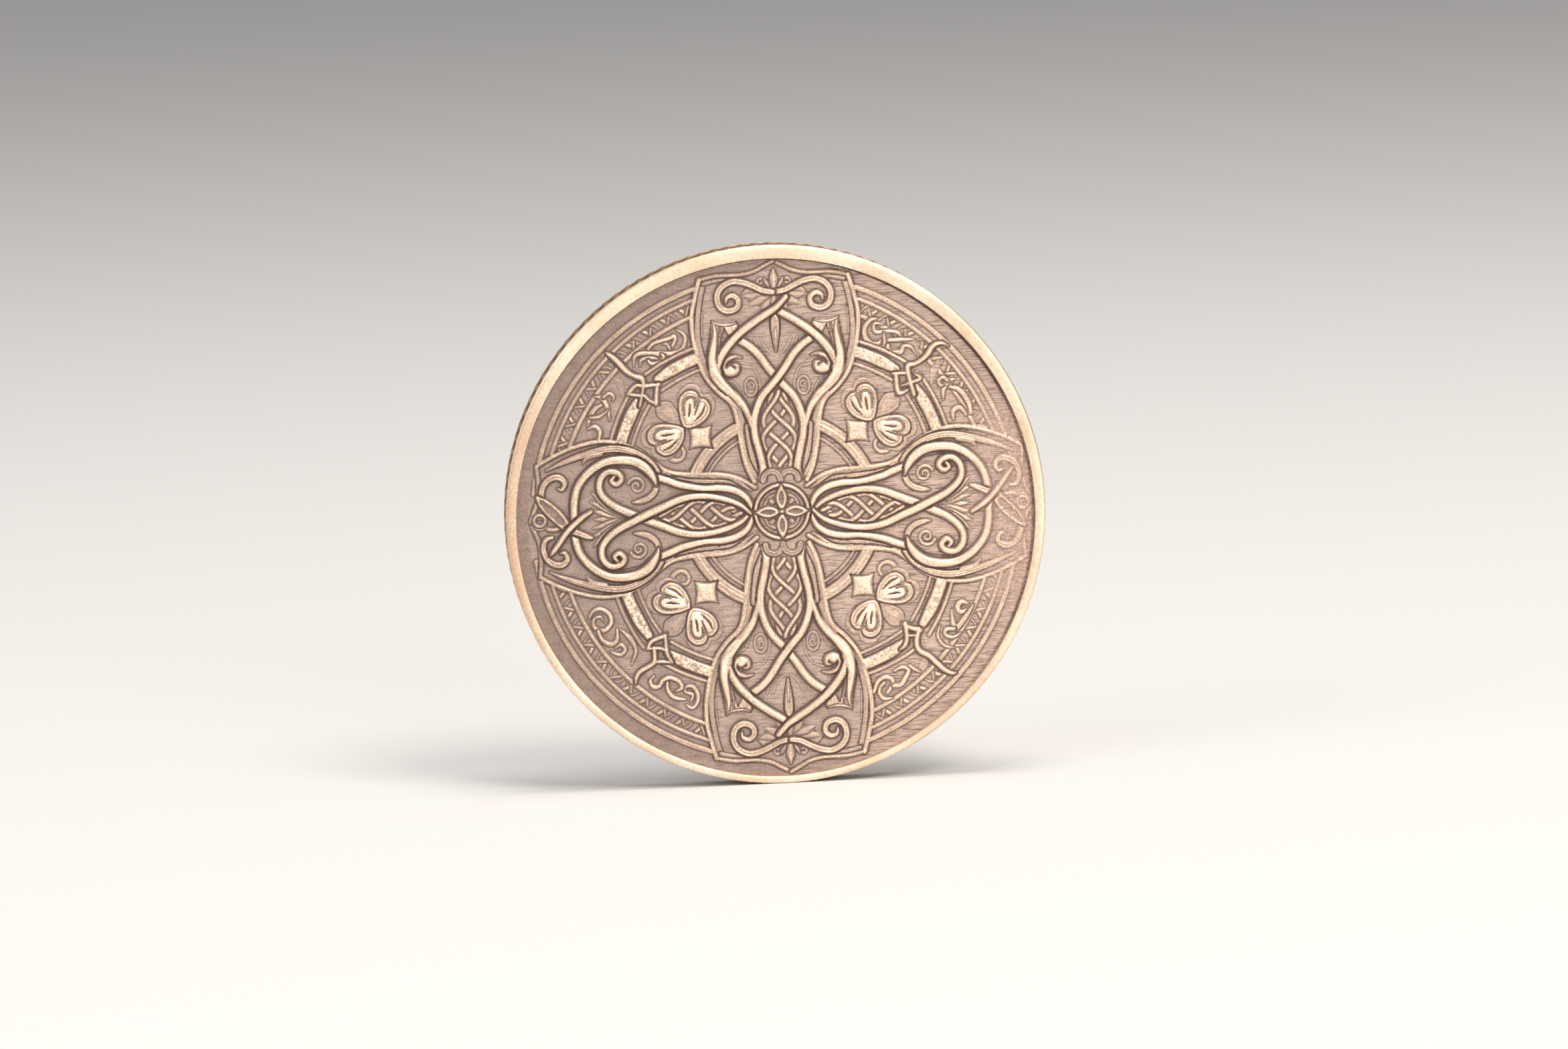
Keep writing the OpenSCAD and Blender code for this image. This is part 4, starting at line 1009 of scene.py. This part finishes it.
def make_ring(name, loops, seam_angle=35):
    """A closed ring: a circle is added, extruded once for each further loop, bridged and put in place."""
    count, depth = len(loops[0]), len(loops)
    deselect()
    bpy.ops.mesh.primitive_circle_add(vertices=count, radius=1)
    ring = bpy.context.object
    ring.name = ring.data.name = name
    bpy.ops.object.mode_set(mode="EDIT")
    bpy.ops.mesh.select_mode(type="EDGE")
    bpy.ops.mesh.select_all(action="SELECT")
    for _ in range(depth - 1):
        bpy.ops.mesh.extrude_region_move(TRANSFORM_OT_translate={"value": (0, 0, 1)})
    bpy.ops.mesh.select_all(action="DESELECT")
    bpy.ops.object.mode_set(mode="OBJECT")
    mesh = ring.data
    co = points_of(mesh)
    level = np.rint(co[:, 2]).astype(int)
    turn = np.rint(np.arctan2(co[:, 1], co[:, 0]) / (2 * math.pi) * count).astype(int) % count
    ends = (level == 0) | (level == depth - 1)
    pair = np.empty(len(mesh.edges) * 2, int)
    mesh.edges.foreach_get("vertices", pair)
    pair = pair.reshape(-1, 2)
    loose = ends[pair[:, 0]] & (level[pair[:, 0]] == level[pair[:, 1]])
    mesh.edges.foreach_set("select", loose)
    bpy.ops.object.mode_set(mode="EDIT")
    bpy.ops.mesh.bridge_edge_loops()
    bpy.ops.object.mode_set(mode="OBJECT")
    table = np.stack(loops)
    put_points(mesh, table[level, turn] * MM)
    bpy.ops.object.mode_set(mode="EDIT")
    bpy.ops.mesh.select_all(action="SELECT")
    bpy.ops.mesh.normals_make_consistent(inside=False)
    bpy.ops.object.mode_set(mode="OBJECT")
    bpy.ops.object.shade_smooth_by_angle(angle=math.radians(seam_angle))
    return ring


# steps round the coin for each flute, on a rim and on the reeded band
RIM_STEPS = 26
EDGE_STEPS = 14


def circle_loop(count, radius, height, drop=0.0):
    """One loop of a ring: radius may be a number or one value for each step."""
    a = 2 * math.pi * np.arange(count) / count
    r = np.broadcast_to(radius, count)
    h = np.broadcast_to(height, count)
    return np.stack([r * np.cos(a), h, drop + r * np.sin(a)], axis=1)


def flutes(count, reeds, share):
    """How deep the reeding cuts at each step round the edge, from 0 to 1."""
    phase = (np.arange(count) * reeds / count) % 1
    across = np.abs(phase - 0.5) * 2 / share
    return np.where(across < 1, 1 - across**2, 0)


def chatter(count):
    """Faint tool marks round a turned surface, in millimetres."""
    a = 2 * math.pi * np.arange(count) / count
    return 0.006 * np.sin(a * 37) + 0.004 * np.sin(a * 61 + 1)


def make_rim(name, facing):
    """A raised rim: a saw-toothed inner wall, a soft lip, the flat land and a rounded outer bevel."""
    sizes = bpy.context.scene.coin_sizes
    count = sizes.reeds * RIM_STEPS
    rng = np.random.default_rng(3 if facing < 0 else 4)
    a = 2 * math.pi * np.arange(count) / count
    tooth = (np.arange(count) % 4) / 3
    # the teeth are deepest at the upper right
    amount = 0.35 + 0.65 * np.clip(np.cos(a - math.radians(65)), 0, 1)
    saw = sizes.saw_depth * (tooth - 0.5) * amount * (0.7 + 0.6 * rng.random(count))
    wall = RECESS_R + saw
    lip = 0.06
    cut = flutes(count, sizes.reeds, sizes.flute_share) * sizes.reed_depth
    loops = [
        circle_loop(count, RECESS_R + 0.02, CORE_H, RECESS_Z),
        circle_loop(count, RECESS_R + saw * 0.6, FIELD_H, RECESS_Z),
        circle_loop(count, wall, HALF_T - lip, RECESS_Z),
        circle_loop(count, wall + 0.018, HALF_T - 0.015, RECESS_Z),
        circle_loop(count, wall * 0.2 + RECESS_R * 0.8 + lip, HALF_T, RECESS_Z),
        circle_loop(count, COIN_R - BEVEL - 0.1, HALF_T),
    ]
    for t in np.linspace(0, 1, 6):
        turn = t * math.pi / 2
        radius = COIN_R - BEVEL + BEVEL * math.sin(turn)
        height = HALF_T - BEVEL * (1 - math.cos(turn))
        loops.append(circle_loop(count, radius - cut * 0.3 * t**8 + chatter(count) * t * 0.5, height))
    loops.append(circle_loop(count, COIN_R - 0.3, BAND_H))
    loops.append(circle_loop(count, CORE_R, BAND_H))
    loops.append(circle_loop(count, CORE_R, CORE_H))
    for loop in loops:
        loop[:, 1] *= facing
    return make_ring(name, loops)


def make_edge():
    """The reeded band: soft scallops that run out towards both rims."""
    sizes = bpy.context.scene.coin_sizes
    count = sizes.reeds * EDGE_STEPS
    rng = np.random.default_rng(5)
    cut = flutes(count, sizes.reeds, sizes.flute_share) * sizes.reed_depth
    wear = np.repeat(0.82 + 0.18 * rng.random(sizes.reeds), EDGE_STEPS)
    a = 2 * math.pi * np.arange(count) / count
    loops = [circle_loop(count, CORE_R, -BAND_H)]
    half = [0.35, 0.7, 0.85, 0.93, 0.985, 1]
    for y in [-y for y in half[::-1]] + [0] + half:
        deep = 0.55 + 0.45 * smooth((1 - abs(y)) / 0.14)
        run = 0.012 * np.sin(a * 90 + 5 * y)
        radius = COIN_R - 0.004 + chatter(count) * 0.5 - cut * wear * deep - np.abs(run) * 0.3
        loops.append(circle_loop(count, radius, y * BAND_H))
    loops.append(circle_loop(count, CORE_R, BAND_H))
    return make_ring("edge_reeds", loops, 60)


# ---------------------------------------------------------------- finishes
def paint(name):
    """One of the coin's colours as the linear values that shaders take."""
    colour = getattr(bpy.context.scene.coin_colours, name)
    return [c / 12.92 if c <= 0.04045 else ((c + 0.055) / 1.055) ** 2.4 for c in colour]


class Finish:
    """Adds and links the nodes of one material."""

    def __init__(self, name):
        self.material = bpy.data.materials.new(name)
        self.material.use_nodes = True
        self.nodes = self.material.node_tree.nodes
        self.links = self.material.node_tree.links
        self.shader = self.nodes["Principled BSDF"]
        self.place = self.nodes.new("ShaderNodeTexCoord").outputs["Object"]

    def link(self, a, b):
        self.links.new(a, b)

    def attribute(self, name):
        node = self.nodes.new("ShaderNodeAttribute")
        node.attribute_name = name
        return node.outputs["Fac"]

    def mapped(self, scale):
        node = self.nodes.new("ShaderNodeMapping")
        node.inputs["Scale"].default_value = scale
        self.link(self.place, node.inputs["Vector"])
        return node.outputs["Vector"]

    def noise(self, size_mm, detail=2.0, stretch=(1, 1, 1), roughness=0.5):
        """Noise whose blobs are about size_mm wide; stretch makes them longer along an axis."""
        node = self.nodes.new("ShaderNodeTexNoise")
        node.inputs["Scale"].default_value = 1.0
        node.inputs["Detail"].default_value = detail
        node.inputs["Roughness"].default_value = roughness
        unit = 1 / (size_mm * MM)
        self.link(self.mapped([unit / s for s in stretch]), node.inputs["Vector"])
        return node.outputs["Fac"]

    def ramp(self, value, low, high, start=0.0, end=1.0):
        """A grey that is start where the value is below low, and end where it is above high."""
        node = self.nodes.new("ShaderNodeValToRGB")
        for element, at, grey in zip(node.color_ramp.elements, (low, high), (start, end)):
            element.position = at
            element.color = (grey, grey, grey, 1)
        self.link(value, node.inputs["Fac"])
        return node.outputs["Color"]

    def maths(self, kind, a, b, clamp):
        node = self.nodes.new("ShaderNodeMath")
        node.operation = kind
        node.use_clamp = clamp
        for socket, value in zip(node.inputs, (a, b)):
            if isinstance(value, (int, float)):
                socket.default_value = value
            else:
                self.link(value, socket)
        return node.outputs["Value"]

    def plus(self, a, b, clamp=False):
        return self.maths("ADD", a, b, clamp)

    def minus(self, a, b):
        return self.maths("SUBTRACT", a, b, False)

    def times(self, a, b, clamp=False):
        return self.maths("MULTIPLY", a, b, clamp)

    def across_face(self, slope, middle):
        """A value that is middle at the coin's centre and rises by slope towards its right edge."""
        split = self.nodes.new("ShaderNodeSeparateXYZ")
        self.link(self.place, split.inputs["Vector"])
        return self.plus(self.times(split.outputs["X"], slope / (COIN_R * MM)), middle)

    def surface(self, colour, metallic, rough):
        """Links the colour and the roughness, and sets or links how metallic it is."""
        self.link(colour, self.shader.inputs["Base Color"])
        if isinstance(metallic, float):
            self.shader.inputs["Metallic"].default_value = metallic
        else:
            self.link(metallic, self.shader.inputs["Metallic"])
        self.link(rough, self.shader.inputs["Roughness"])

    def mix(self, share, a, b):
        node = self.nodes.new("ShaderNodeMix")
        node.data_type = "RGBA"
        for socket, value in zip((node.inputs["Factor"], node.inputs["A"], node.inputs["B"]), (share, a, b)):
            if isinstance(value, (int, float)):
                socket.default_value = value
            elif isinstance(value, (list, tuple)):
                socket.default_value = (*value, 1)
            else:
                self.link(value, socket)
        return [o for o in node.outputs if o.type == "RGBA"][0]

    def bump(self, height, strength, distance_mm):
        node = self.nodes.new("ShaderNodeBump")
        node.inputs["Strength"].default_value = strength
        node.inputs["Distance"].default_value = distance_mm * MM
        self.link(height, node.inputs["Height"])
        self.link(node.outputs["Normal"], self.shader.inputs["Normal"])


def relief_finish(name, scan_lines):
    """Antique brass: worn pale tops, grey-brown field, dark brown grooves, fine raster lines and specks."""
    f = Finish(name)
    worn, patina_and_shadow = f.attribute("worn"), f.attribute("patina_and_shadow")
    rise, fade = f.attribute("rise"), f.attribute("fade")
    speck = f.noise(0.1, 4, (1.5, 1, 1), 0.7)
    grit = f.noise(0.045, 2, (2, 1, 1), 0.6)
    streak = f.noise(0.062, 3, (17, 1, 1), 0.6)
    mottle = f.noise(0.6, 5, (1.4, 1, 1), 0.7)
    cloud = f.noise(7, 2)
    # the field: mottled patina with bright and dull raster lines, darker where it lies low beside the relief:
    # patina with painted shade
    field = f.mix(f.ramp(mottle, 0.3, 0.7), paint("field_dark"), paint("field_pale"))
    field = f.mix(f.ramp(grit, 0.35, 0.7, 0.0, 0.4), field, paint("scan_line"))
    # more raster lines towards the right: real raster marks, their rise to the right partly painted light
    region = f.ramp(f.plus(f.times(cloud, 0.6), f.across_face(0.36, 0.27)), 0.35, 0.75, 0.12)
    lined = f.times(f.ramp(streak, 0.36, 0.66), f.times(region, scan_lines), True)
    field = f.mix(lined, field, paint("scan_line"))
    dull = f.times(f.ramp(streak, 0.3, 0.46, 0.65, 0.0), region)
    field = f.mix(dull, field, paint("groove"))
    # patina and painted shade where the field lies low beside the relief
    field = f.mix(f.ramp(rise, 0.18, 0.5, 0.55, 0.0), field, paint("groove"))
    # worn metal: how far the patina is rubbed away, broken up by specks, and brighter towards the right: wear
    # with painted light
    rubbed_and_lit = f.plus(worn, f.times(f.minus(rise, 0.5), 0.6))
    rubbed_and_lit = f.plus(rubbed_and_lit, f.across_face(0.15, 0.05))
    rubbed_and_lit = f.plus(rubbed_and_lit, f.times(f.minus(speck, 0.5), 1.1), True)
    lit = f.plus(f.times(speck, 0.9), f.times(rubbed_and_lit, 0.3))
    brass = f.mix(f.ramp(lit, 0.52, 0.84), paint("brass_mid"), paint("brass_pale"))
    # polished crests with a painted highlight: tones above 0.95 turn towards the rim's pale brass
    polish_and_highlight = f.times(f.minus(worn, 0.95), 3.5, True)
    brass = f.mix(f.times(polish_and_highlight, 0.85), brass, paint("rim_pale"))
    share = f.ramp(rubbed_and_lit, 0.2, 0.95)
    colour = f.mix(share, field, brass)
    # patina in the grooves, and the painted shadow at the foot of the recess wall
    groove = f.ramp(f.minus(patina_and_shadow, f.times(speck, 0.25)), 0.05, 0.75, 0.0, 0.85)
    colour = f.mix(groove, colour, paint("groove"))
    # pink stipple where the engraving is rubbed away
    stipple = f.noise(0.13, 2, (1, 1, 1), 0.7)
    pink = f.mix(f.ramp(stipple, 0.42, 0.6), paint("stipple_dark"), paint("stipple_pale"))
    colour = f.mix(f.times(fade, 0.4), colour, pink)
    rough = f.plus(f.ramp(share, 0.0, 1.0, 0.56, 0.4), f.times(speck, 0.08))
    f.surface(colour, f.ramp(share, 0.0, 1.0, 0.45, 0.9), rough)
    f.bump(f.plus(f.times(speck, 0.6), f.times(lined, 0.8)), 0.55, 0.02)
    return f.material


RIM_BRUSH_ANGLE = 28


def rim_finish(name):
    """Bright brushed brass with diagonal brush marks and tiny nicks, and painted shade that dulls it towards
    the left.
    """
    f = Finish(name)
    # painted shade: duller brass towards the left of the rim
    shaded = f.ramp(f.across_face(-0.5, 0.5), 0.87, 0.985, 0.0, 0.9)
    turn = f.nodes.new("ShaderNodeVectorRotate")
    turn.rotation_type = "Y_AXIS"
    turn.inputs["Angle"].default_value = math.radians(RIM_BRUSH_ANGLE)
    f.link(f.place, turn.inputs["Vector"])
    f.place = turn.outputs["Vector"]
    brushed = f.noise(0.05, 3, (1, 1, 14), 0.6)
    fine = f.noise(0.12, 3)
    nick = f.noise(0.5, 2)
    cloud = f.noise(5, 2)
    colour = f.mix(f.ramp(cloud, 0.35, 0.7), paint("rim_warm"), paint("rim_pale"))
    marks = f.ramp(f.plus(f.times(brushed, 0.6), f.times(fine, 0.4)), 0.36, 0.58, 0.45)
    colour = f.mix(marks, paint("edge_tan"), colour)
    colour = f.mix(f.times(shaded, f.ramp(fine, 0.35, 0.65, 1.0, 0.6)), colour, paint("brass_mid"))
    colour = f.mix(f.ramp(nick, 0.2, 0.27, 0.7, 0.0), colour, paint("edge_dark"))
    f.surface(colour, 0.85, f.plus(f.times(brushed, 0.16), 0.3))
    f.bump(f.plus(brushed, f.times(fine, 0.5)), 0.3, 0.01)
    return f.material


def edge_finish(name):
    """Unpolished dark gold on the reeding, browner in the flutes and rubbed at the crests."""
    f = Finish(name)
    grit = f.noise(0.12, 4, (1, 2, 1), 0.6)
    cloud = f.noise(1.4, 3)
    share = f.plus(f.attribute("worn"), f.times(f.minus(grit, 0.5), 0.9), True)
    colour = f.mix(share, paint("edge_dark"), paint("edge_tan"))
    colour = f.mix(f.ramp(cloud, 0.35, 0.7, 0.35, 0.0), colour, paint("groove"))
    f.surface(colour, 0.85, f.plus(f.times(grit, 0.25), 0.32))
    f.bump(grit, 0.5, 0.02)
    return f.material


def core_finish(name):
    """Raw brass of the blank, under the faces."""
    f = Finish(name)
    grain = f.noise(0.3, 3)
    f.surface(f.mix(grain, paint("edge_tan"), paint("rim_warm")), 0.9, f.plus(f.times(grain, 0.2), 0.3))
    f.bump(grain, 0.2, 0.01)
    return f.material


def floor_finish(name):
    """Plain pale matt studio paper."""
    f = Finish(name)
    fibre = f.noise(0.8, 3)
    pale = paint("floor")
    f.link(f.mix(fibre, pale, [0.96 * c for c in pale]), f.shader.inputs["Base Color"])
    f.shader.inputs["Roughness"].default_value = 0.85
    return f.material


def dress(piece, material, slot, *nodes):
    """Gives a piece its finish and ties it to the frame."""
    piece.data.materials.clear()
    piece.data.materials.append(material)
    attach(piece, "root")
    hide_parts(*nodes)


# ---------------------------------------------------------------- what a user may change
def colour_property(name, description, value):
    return FloatVectorProperty(name=name, description=description, default=value,
                               subtype="COLOR", min=0, max=1)


class CoinSizes(bpy.types.PropertyGroup):
    """Sizes of the coin's finer features, in millimetres where not said otherwise."""

    front_pitch: FloatProperty(name="Front lattice", description="Lattice step of the front relief, mm",
                               default=0.05)
    back_pitch: FloatProperty(name="Back lattice", description="Lattice step of the reverse relief, mm",
                              default=0.08)
    bottom_stretch: FloatProperty(name="Lower arm stretch", description="How much longer the lower arm is",
                                  default=1.046, subtype="FACTOR")
    reeds: IntProperty(name="Reeds", description="Number of flutes round the edge", default=125)
    reed_depth: FloatProperty(name="Reed depth", description="Depth of each flute, mm", default=0.18)
    flute_share: FloatProperty(name="Flute share", description="Share of the pitch that a flute takes",
                               default=0.86, subtype="FACTOR")
    saw_depth: FloatProperty(name="Saw tooth", description="Depth of the raster teeth on the recess wall, mm",
                             default=0.045)


class CoinColours(bpy.types.PropertyGroup):
    """Colours of the coin's finishes."""

    field_dark: colour_property("Field, dark", "Patina in the field", (0.46, 0.40, 0.375))
    field_pale: colour_property("Field, pale", "Thin patina in the field", (0.60, 0.53, 0.50))
    scan_line: colour_property("Raster line", "Bright raster lines in the field", (0.93, 0.81, 0.73))
    brass_mid: colour_property("Brass, mid", "Dull brass on the relief", (0.79, 0.65, 0.54))
    brass_pale: colour_property("Brass, pale", "Rubbed brass on the relief", (1.0, 0.91, 0.81))
    groove: colour_property("Groove", "Dark brown in the grooves", (0.23, 0.13, 0.09))
    stipple_dark: colour_property("Stipple, dark", "Stippled wear, dark", (0.60, 0.48, 0.44))
    stipple_pale: colour_property("Stipple, pale", "Stippled wear, pale", (0.88, 0.75, 0.69))
    rim_pale: colour_property("Rim, pale", "Polished rim", (1.0, 0.95, 0.87))
    rim_warm: colour_property("Rim, warm", "Warmer brass of the rim", (0.93, 0.84, 0.74))
    edge_tan: colour_property("Edge, tan", "Crests of the reeding", (0.80, 0.63, 0.40))
    edge_dark: colour_property("Edge, dark", "Flutes of the reeding", (0.40, 0.27, 0.14))
    floor: colour_property("Floor", "Studio floor", (0.86, 0.85, 0.84))


# ---------------------------------------------------------------- operators
class COIN_OT_front(bpy.types.Operator):
    """Engrave the front: the boss, four arms and four quadrants"""

    bl_idname = "coin.front"
    bl_label = "Engrave front"

    def execute(self, context):
        relief, masks = engrave_front()
        material = relief_finish("engraved_brass", 0.75)
        names, owner = regions(relief, masks)
        for i, name in enumerate(names):
            tile = make_tile(name, relief, tidied(owner == i), FIELD_H, CORE_H, -1)
            kind, _, where = name.partition("_")
            if kind == "boss":
                nodes = ["centre_boss"]
            elif kind == "arm":
                nodes = [f"{where}_arm_{part}" for part in ARM_PARTS]
            else:
                nodes = [f"{part}_{where}" for part in FIELD_MOTIFS] + ["front_field"]
            dress(tile, material, "relief_brass", *nodes)
        return {"FINISHED"}


class COIN_OT_back(bpy.types.Operator):
    """Engrave the reverse in four quarters"""

    bl_idname = "coin.back"
    bl_label = "Engrave back"

    def execute(self, context):
        relief = engrave_back()
        material = relief_finish("reverse_brass", 0.5)
        x, y = relief.grid()
        disc = np.hypot(x, y) <= DRAWN_R + TILE_EXTRA
        for name, (sx, sy) in QUADRANTS.items():
            quarter = disc & (x * -sx >= 0) & (y * sy > 0 if sy > 0 else y <= 0)
            mask = tidied(quarter[:-1, :-1])
            tile = make_tile("reverse_" + name, relief, mask, BACK_FIELD_H, BACK_CORE_H, 1)
            dress(tile, material, "relief_brass",
                  "back_field", "reverse_rope", "reverse_lines", "reverse_knot")
        return {"FINISHED"}


class COIN_OT_rims(bpy.types.Operator):
    """Turn both raised rims"""

    bl_idname = "coin.rims"
    bl_label = "Make rims"

    def execute(self, context):
        material = rim_finish("bright_rim_brass")
        dress(make_rim("rim_front", -1), material, "rim_brass", "front_rim")
        dress(make_rim("rim_back", 1), material, "rim_brass", "back_rim")
        return {"FINISHED"}


class COIN_OT_edge(bpy.types.Operator):
    """Cut the reeded edge and finish the core"""

    bl_idname = "coin.edge"
    bl_label = "Make edge"

    def execute(self, context):
        reeds = make_edge()
        co = points_of(reeds.data) / MM
        radius = np.hypot(co[:, 0], co[:, 2])
        depth = context.scene.coin_sizes.reed_depth
        add_values(reeds.data, "worn", np.clip(1 - (COIN_R - radius) / depth * 0.9, 0, 1))
        dress(reeds, edge_finish("edge_brass"), "edge_brass", "reeded_edge")
        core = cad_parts["core_disc"].data.materials
        core.clear()
        core.append(core_finish("core_brass"))
        return {"FINISHED"}


class COIN_OT_stage(bpy.types.Operator):
    """Set the floor, the lights and the camera"""

    bl_idname = "coin.stage"
    bl_label = "Set stage"

    def execute(self, context):
        scene = context.scene
        deselect()
        bpy.ops.mesh.primitive_plane_add(size=12, location=(0, 0, -COIN_R * MM))
        floor = context.object
        floor.name = "floor"
        bpy.ops.object.transform_apply(location=True)
        floor.data.materials.append(floor_finish("studio_paper"))
        world = bpy.data.worlds.new("studio")
        scene.world = world
        world.use_nodes = True
        sky = world.node_tree.nodes["Background"].inputs
        sky["Color"].default_value = (0.93, 0.93, 0.94, 1)
        sky["Strength"].default_value = 0.42
        soft_light("key", (0.5, -0.75, 1.05), 0.5, 10, (1.0, 0.96, 0.91))
        soft_light("top", (0.1, -0.12, 0.9), 0.4, 5, (1.0, 0.97, 0.92))
        soft_light("fill", (-1.0, -0.8, 0.5), 0.8, 5, (0.95, 0.97, 1.0))
        soft_light("front", (0.36, -1.15, 0.32), 0.5, 3.8, (1.0, 0.96, 0.92))
        make_camera(scene)
        scene.view_settings.view_transform = "Standard"
        return {"FINISHED"}


def soft_light(name, place, size, watts, colour):
    """A square soft box that faces the coin."""
    deselect()
    bpy.ops.object.light_add(type="AREA", location=place)
    light = bpy.context.object
    light.name = name
    light.data.size = size
    light.data.energy = watts
    light.data.color = colour
    light.rotation_euler = (-Vector(place)).to_track_quat("-Z", "Y").to_euler()


def make_camera(scene):
    """The camera looks a little from the left and from above, slightly rolled."""
    azimuth, elevation, roll = math.radians(-4.4), math.radians(6.1), math.radians(-2.1)
    frame_width_mm = 116.0
    sensor_mm, lens_mm = 23.6, 105
    distance = frame_width_mm * MM * lens_mm / sensor_mm
    out = Vector((math.sin(azimuth) * math.cos(elevation), -math.cos(azimuth) * math.cos(elevation),
                  math.sin(elevation)))
    aim = Vector((0.64, 0, -0.89)) * MM
    deselect()
    bpy.ops.object.camera_add(location=aim + out * distance)
    camera = bpy.context.object
    camera.name = "camera"
    camera.data.lens = lens_mm
    camera.data.sensor_width = sensor_mm
    camera.data.clip_start = 0.01
    turn = out.to_track_quat("Z", "Y").to_matrix() @ Matrix.Rotation(roll, 3, "Z")
    camera.rotation_euler = turn.to_euler()
    scene.camera = camera


class COIN_PT_panel(bpy.types.Panel):
    """Lists the steps that build the coin"""

    bl_label = "Engraved coin"
    bl_idname = "COIN_PT_panel"
    bl_space_type = "VIEW_3D"
    bl_region_type = "UI"
    bl_category = "Coin"

    def draw(self, context):
        for step in STEPS:
            self.layout.operator(step.bl_idname)
        for group in (context.scene.coin_sizes, context.scene.coin_colours):
            box = self.layout.box()
            for name in group.bl_rna.properties.keys():
                if name not in ("rna_type", "name"):
                    box.prop(group, name)


STEPS = (COIN_OT_front, COIN_OT_back, COIN_OT_rims, COIN_OT_edge, COIN_OT_stage)
CLASSES = (CoinSizes, CoinColours) + STEPS + (COIN_PT_panel,)


def register():
    for cls in CLASSES:
        bpy.utils.register_class(cls)
    bpy.types.Scene.coin_sizes = PointerProperty(type=CoinSizes)
    bpy.types.Scene.coin_colours = PointerProperty(type=CoinColours)


def unregister():
    del bpy.types.Scene.coin_colours
    del bpy.types.Scene.coin_sizes
    for cls in reversed(CLASSES):
        bpy.utils.unregister_class(cls)


def main():
    """Builds everything."""
    register()
    bpy.ops.coin.front()
    bpy.ops.coin.back()
    bpy.ops.coin.rims()
    bpy.ops.coin.edge()
    bpy.ops.coin.stage()


if __name__ == "__main__":
    main()
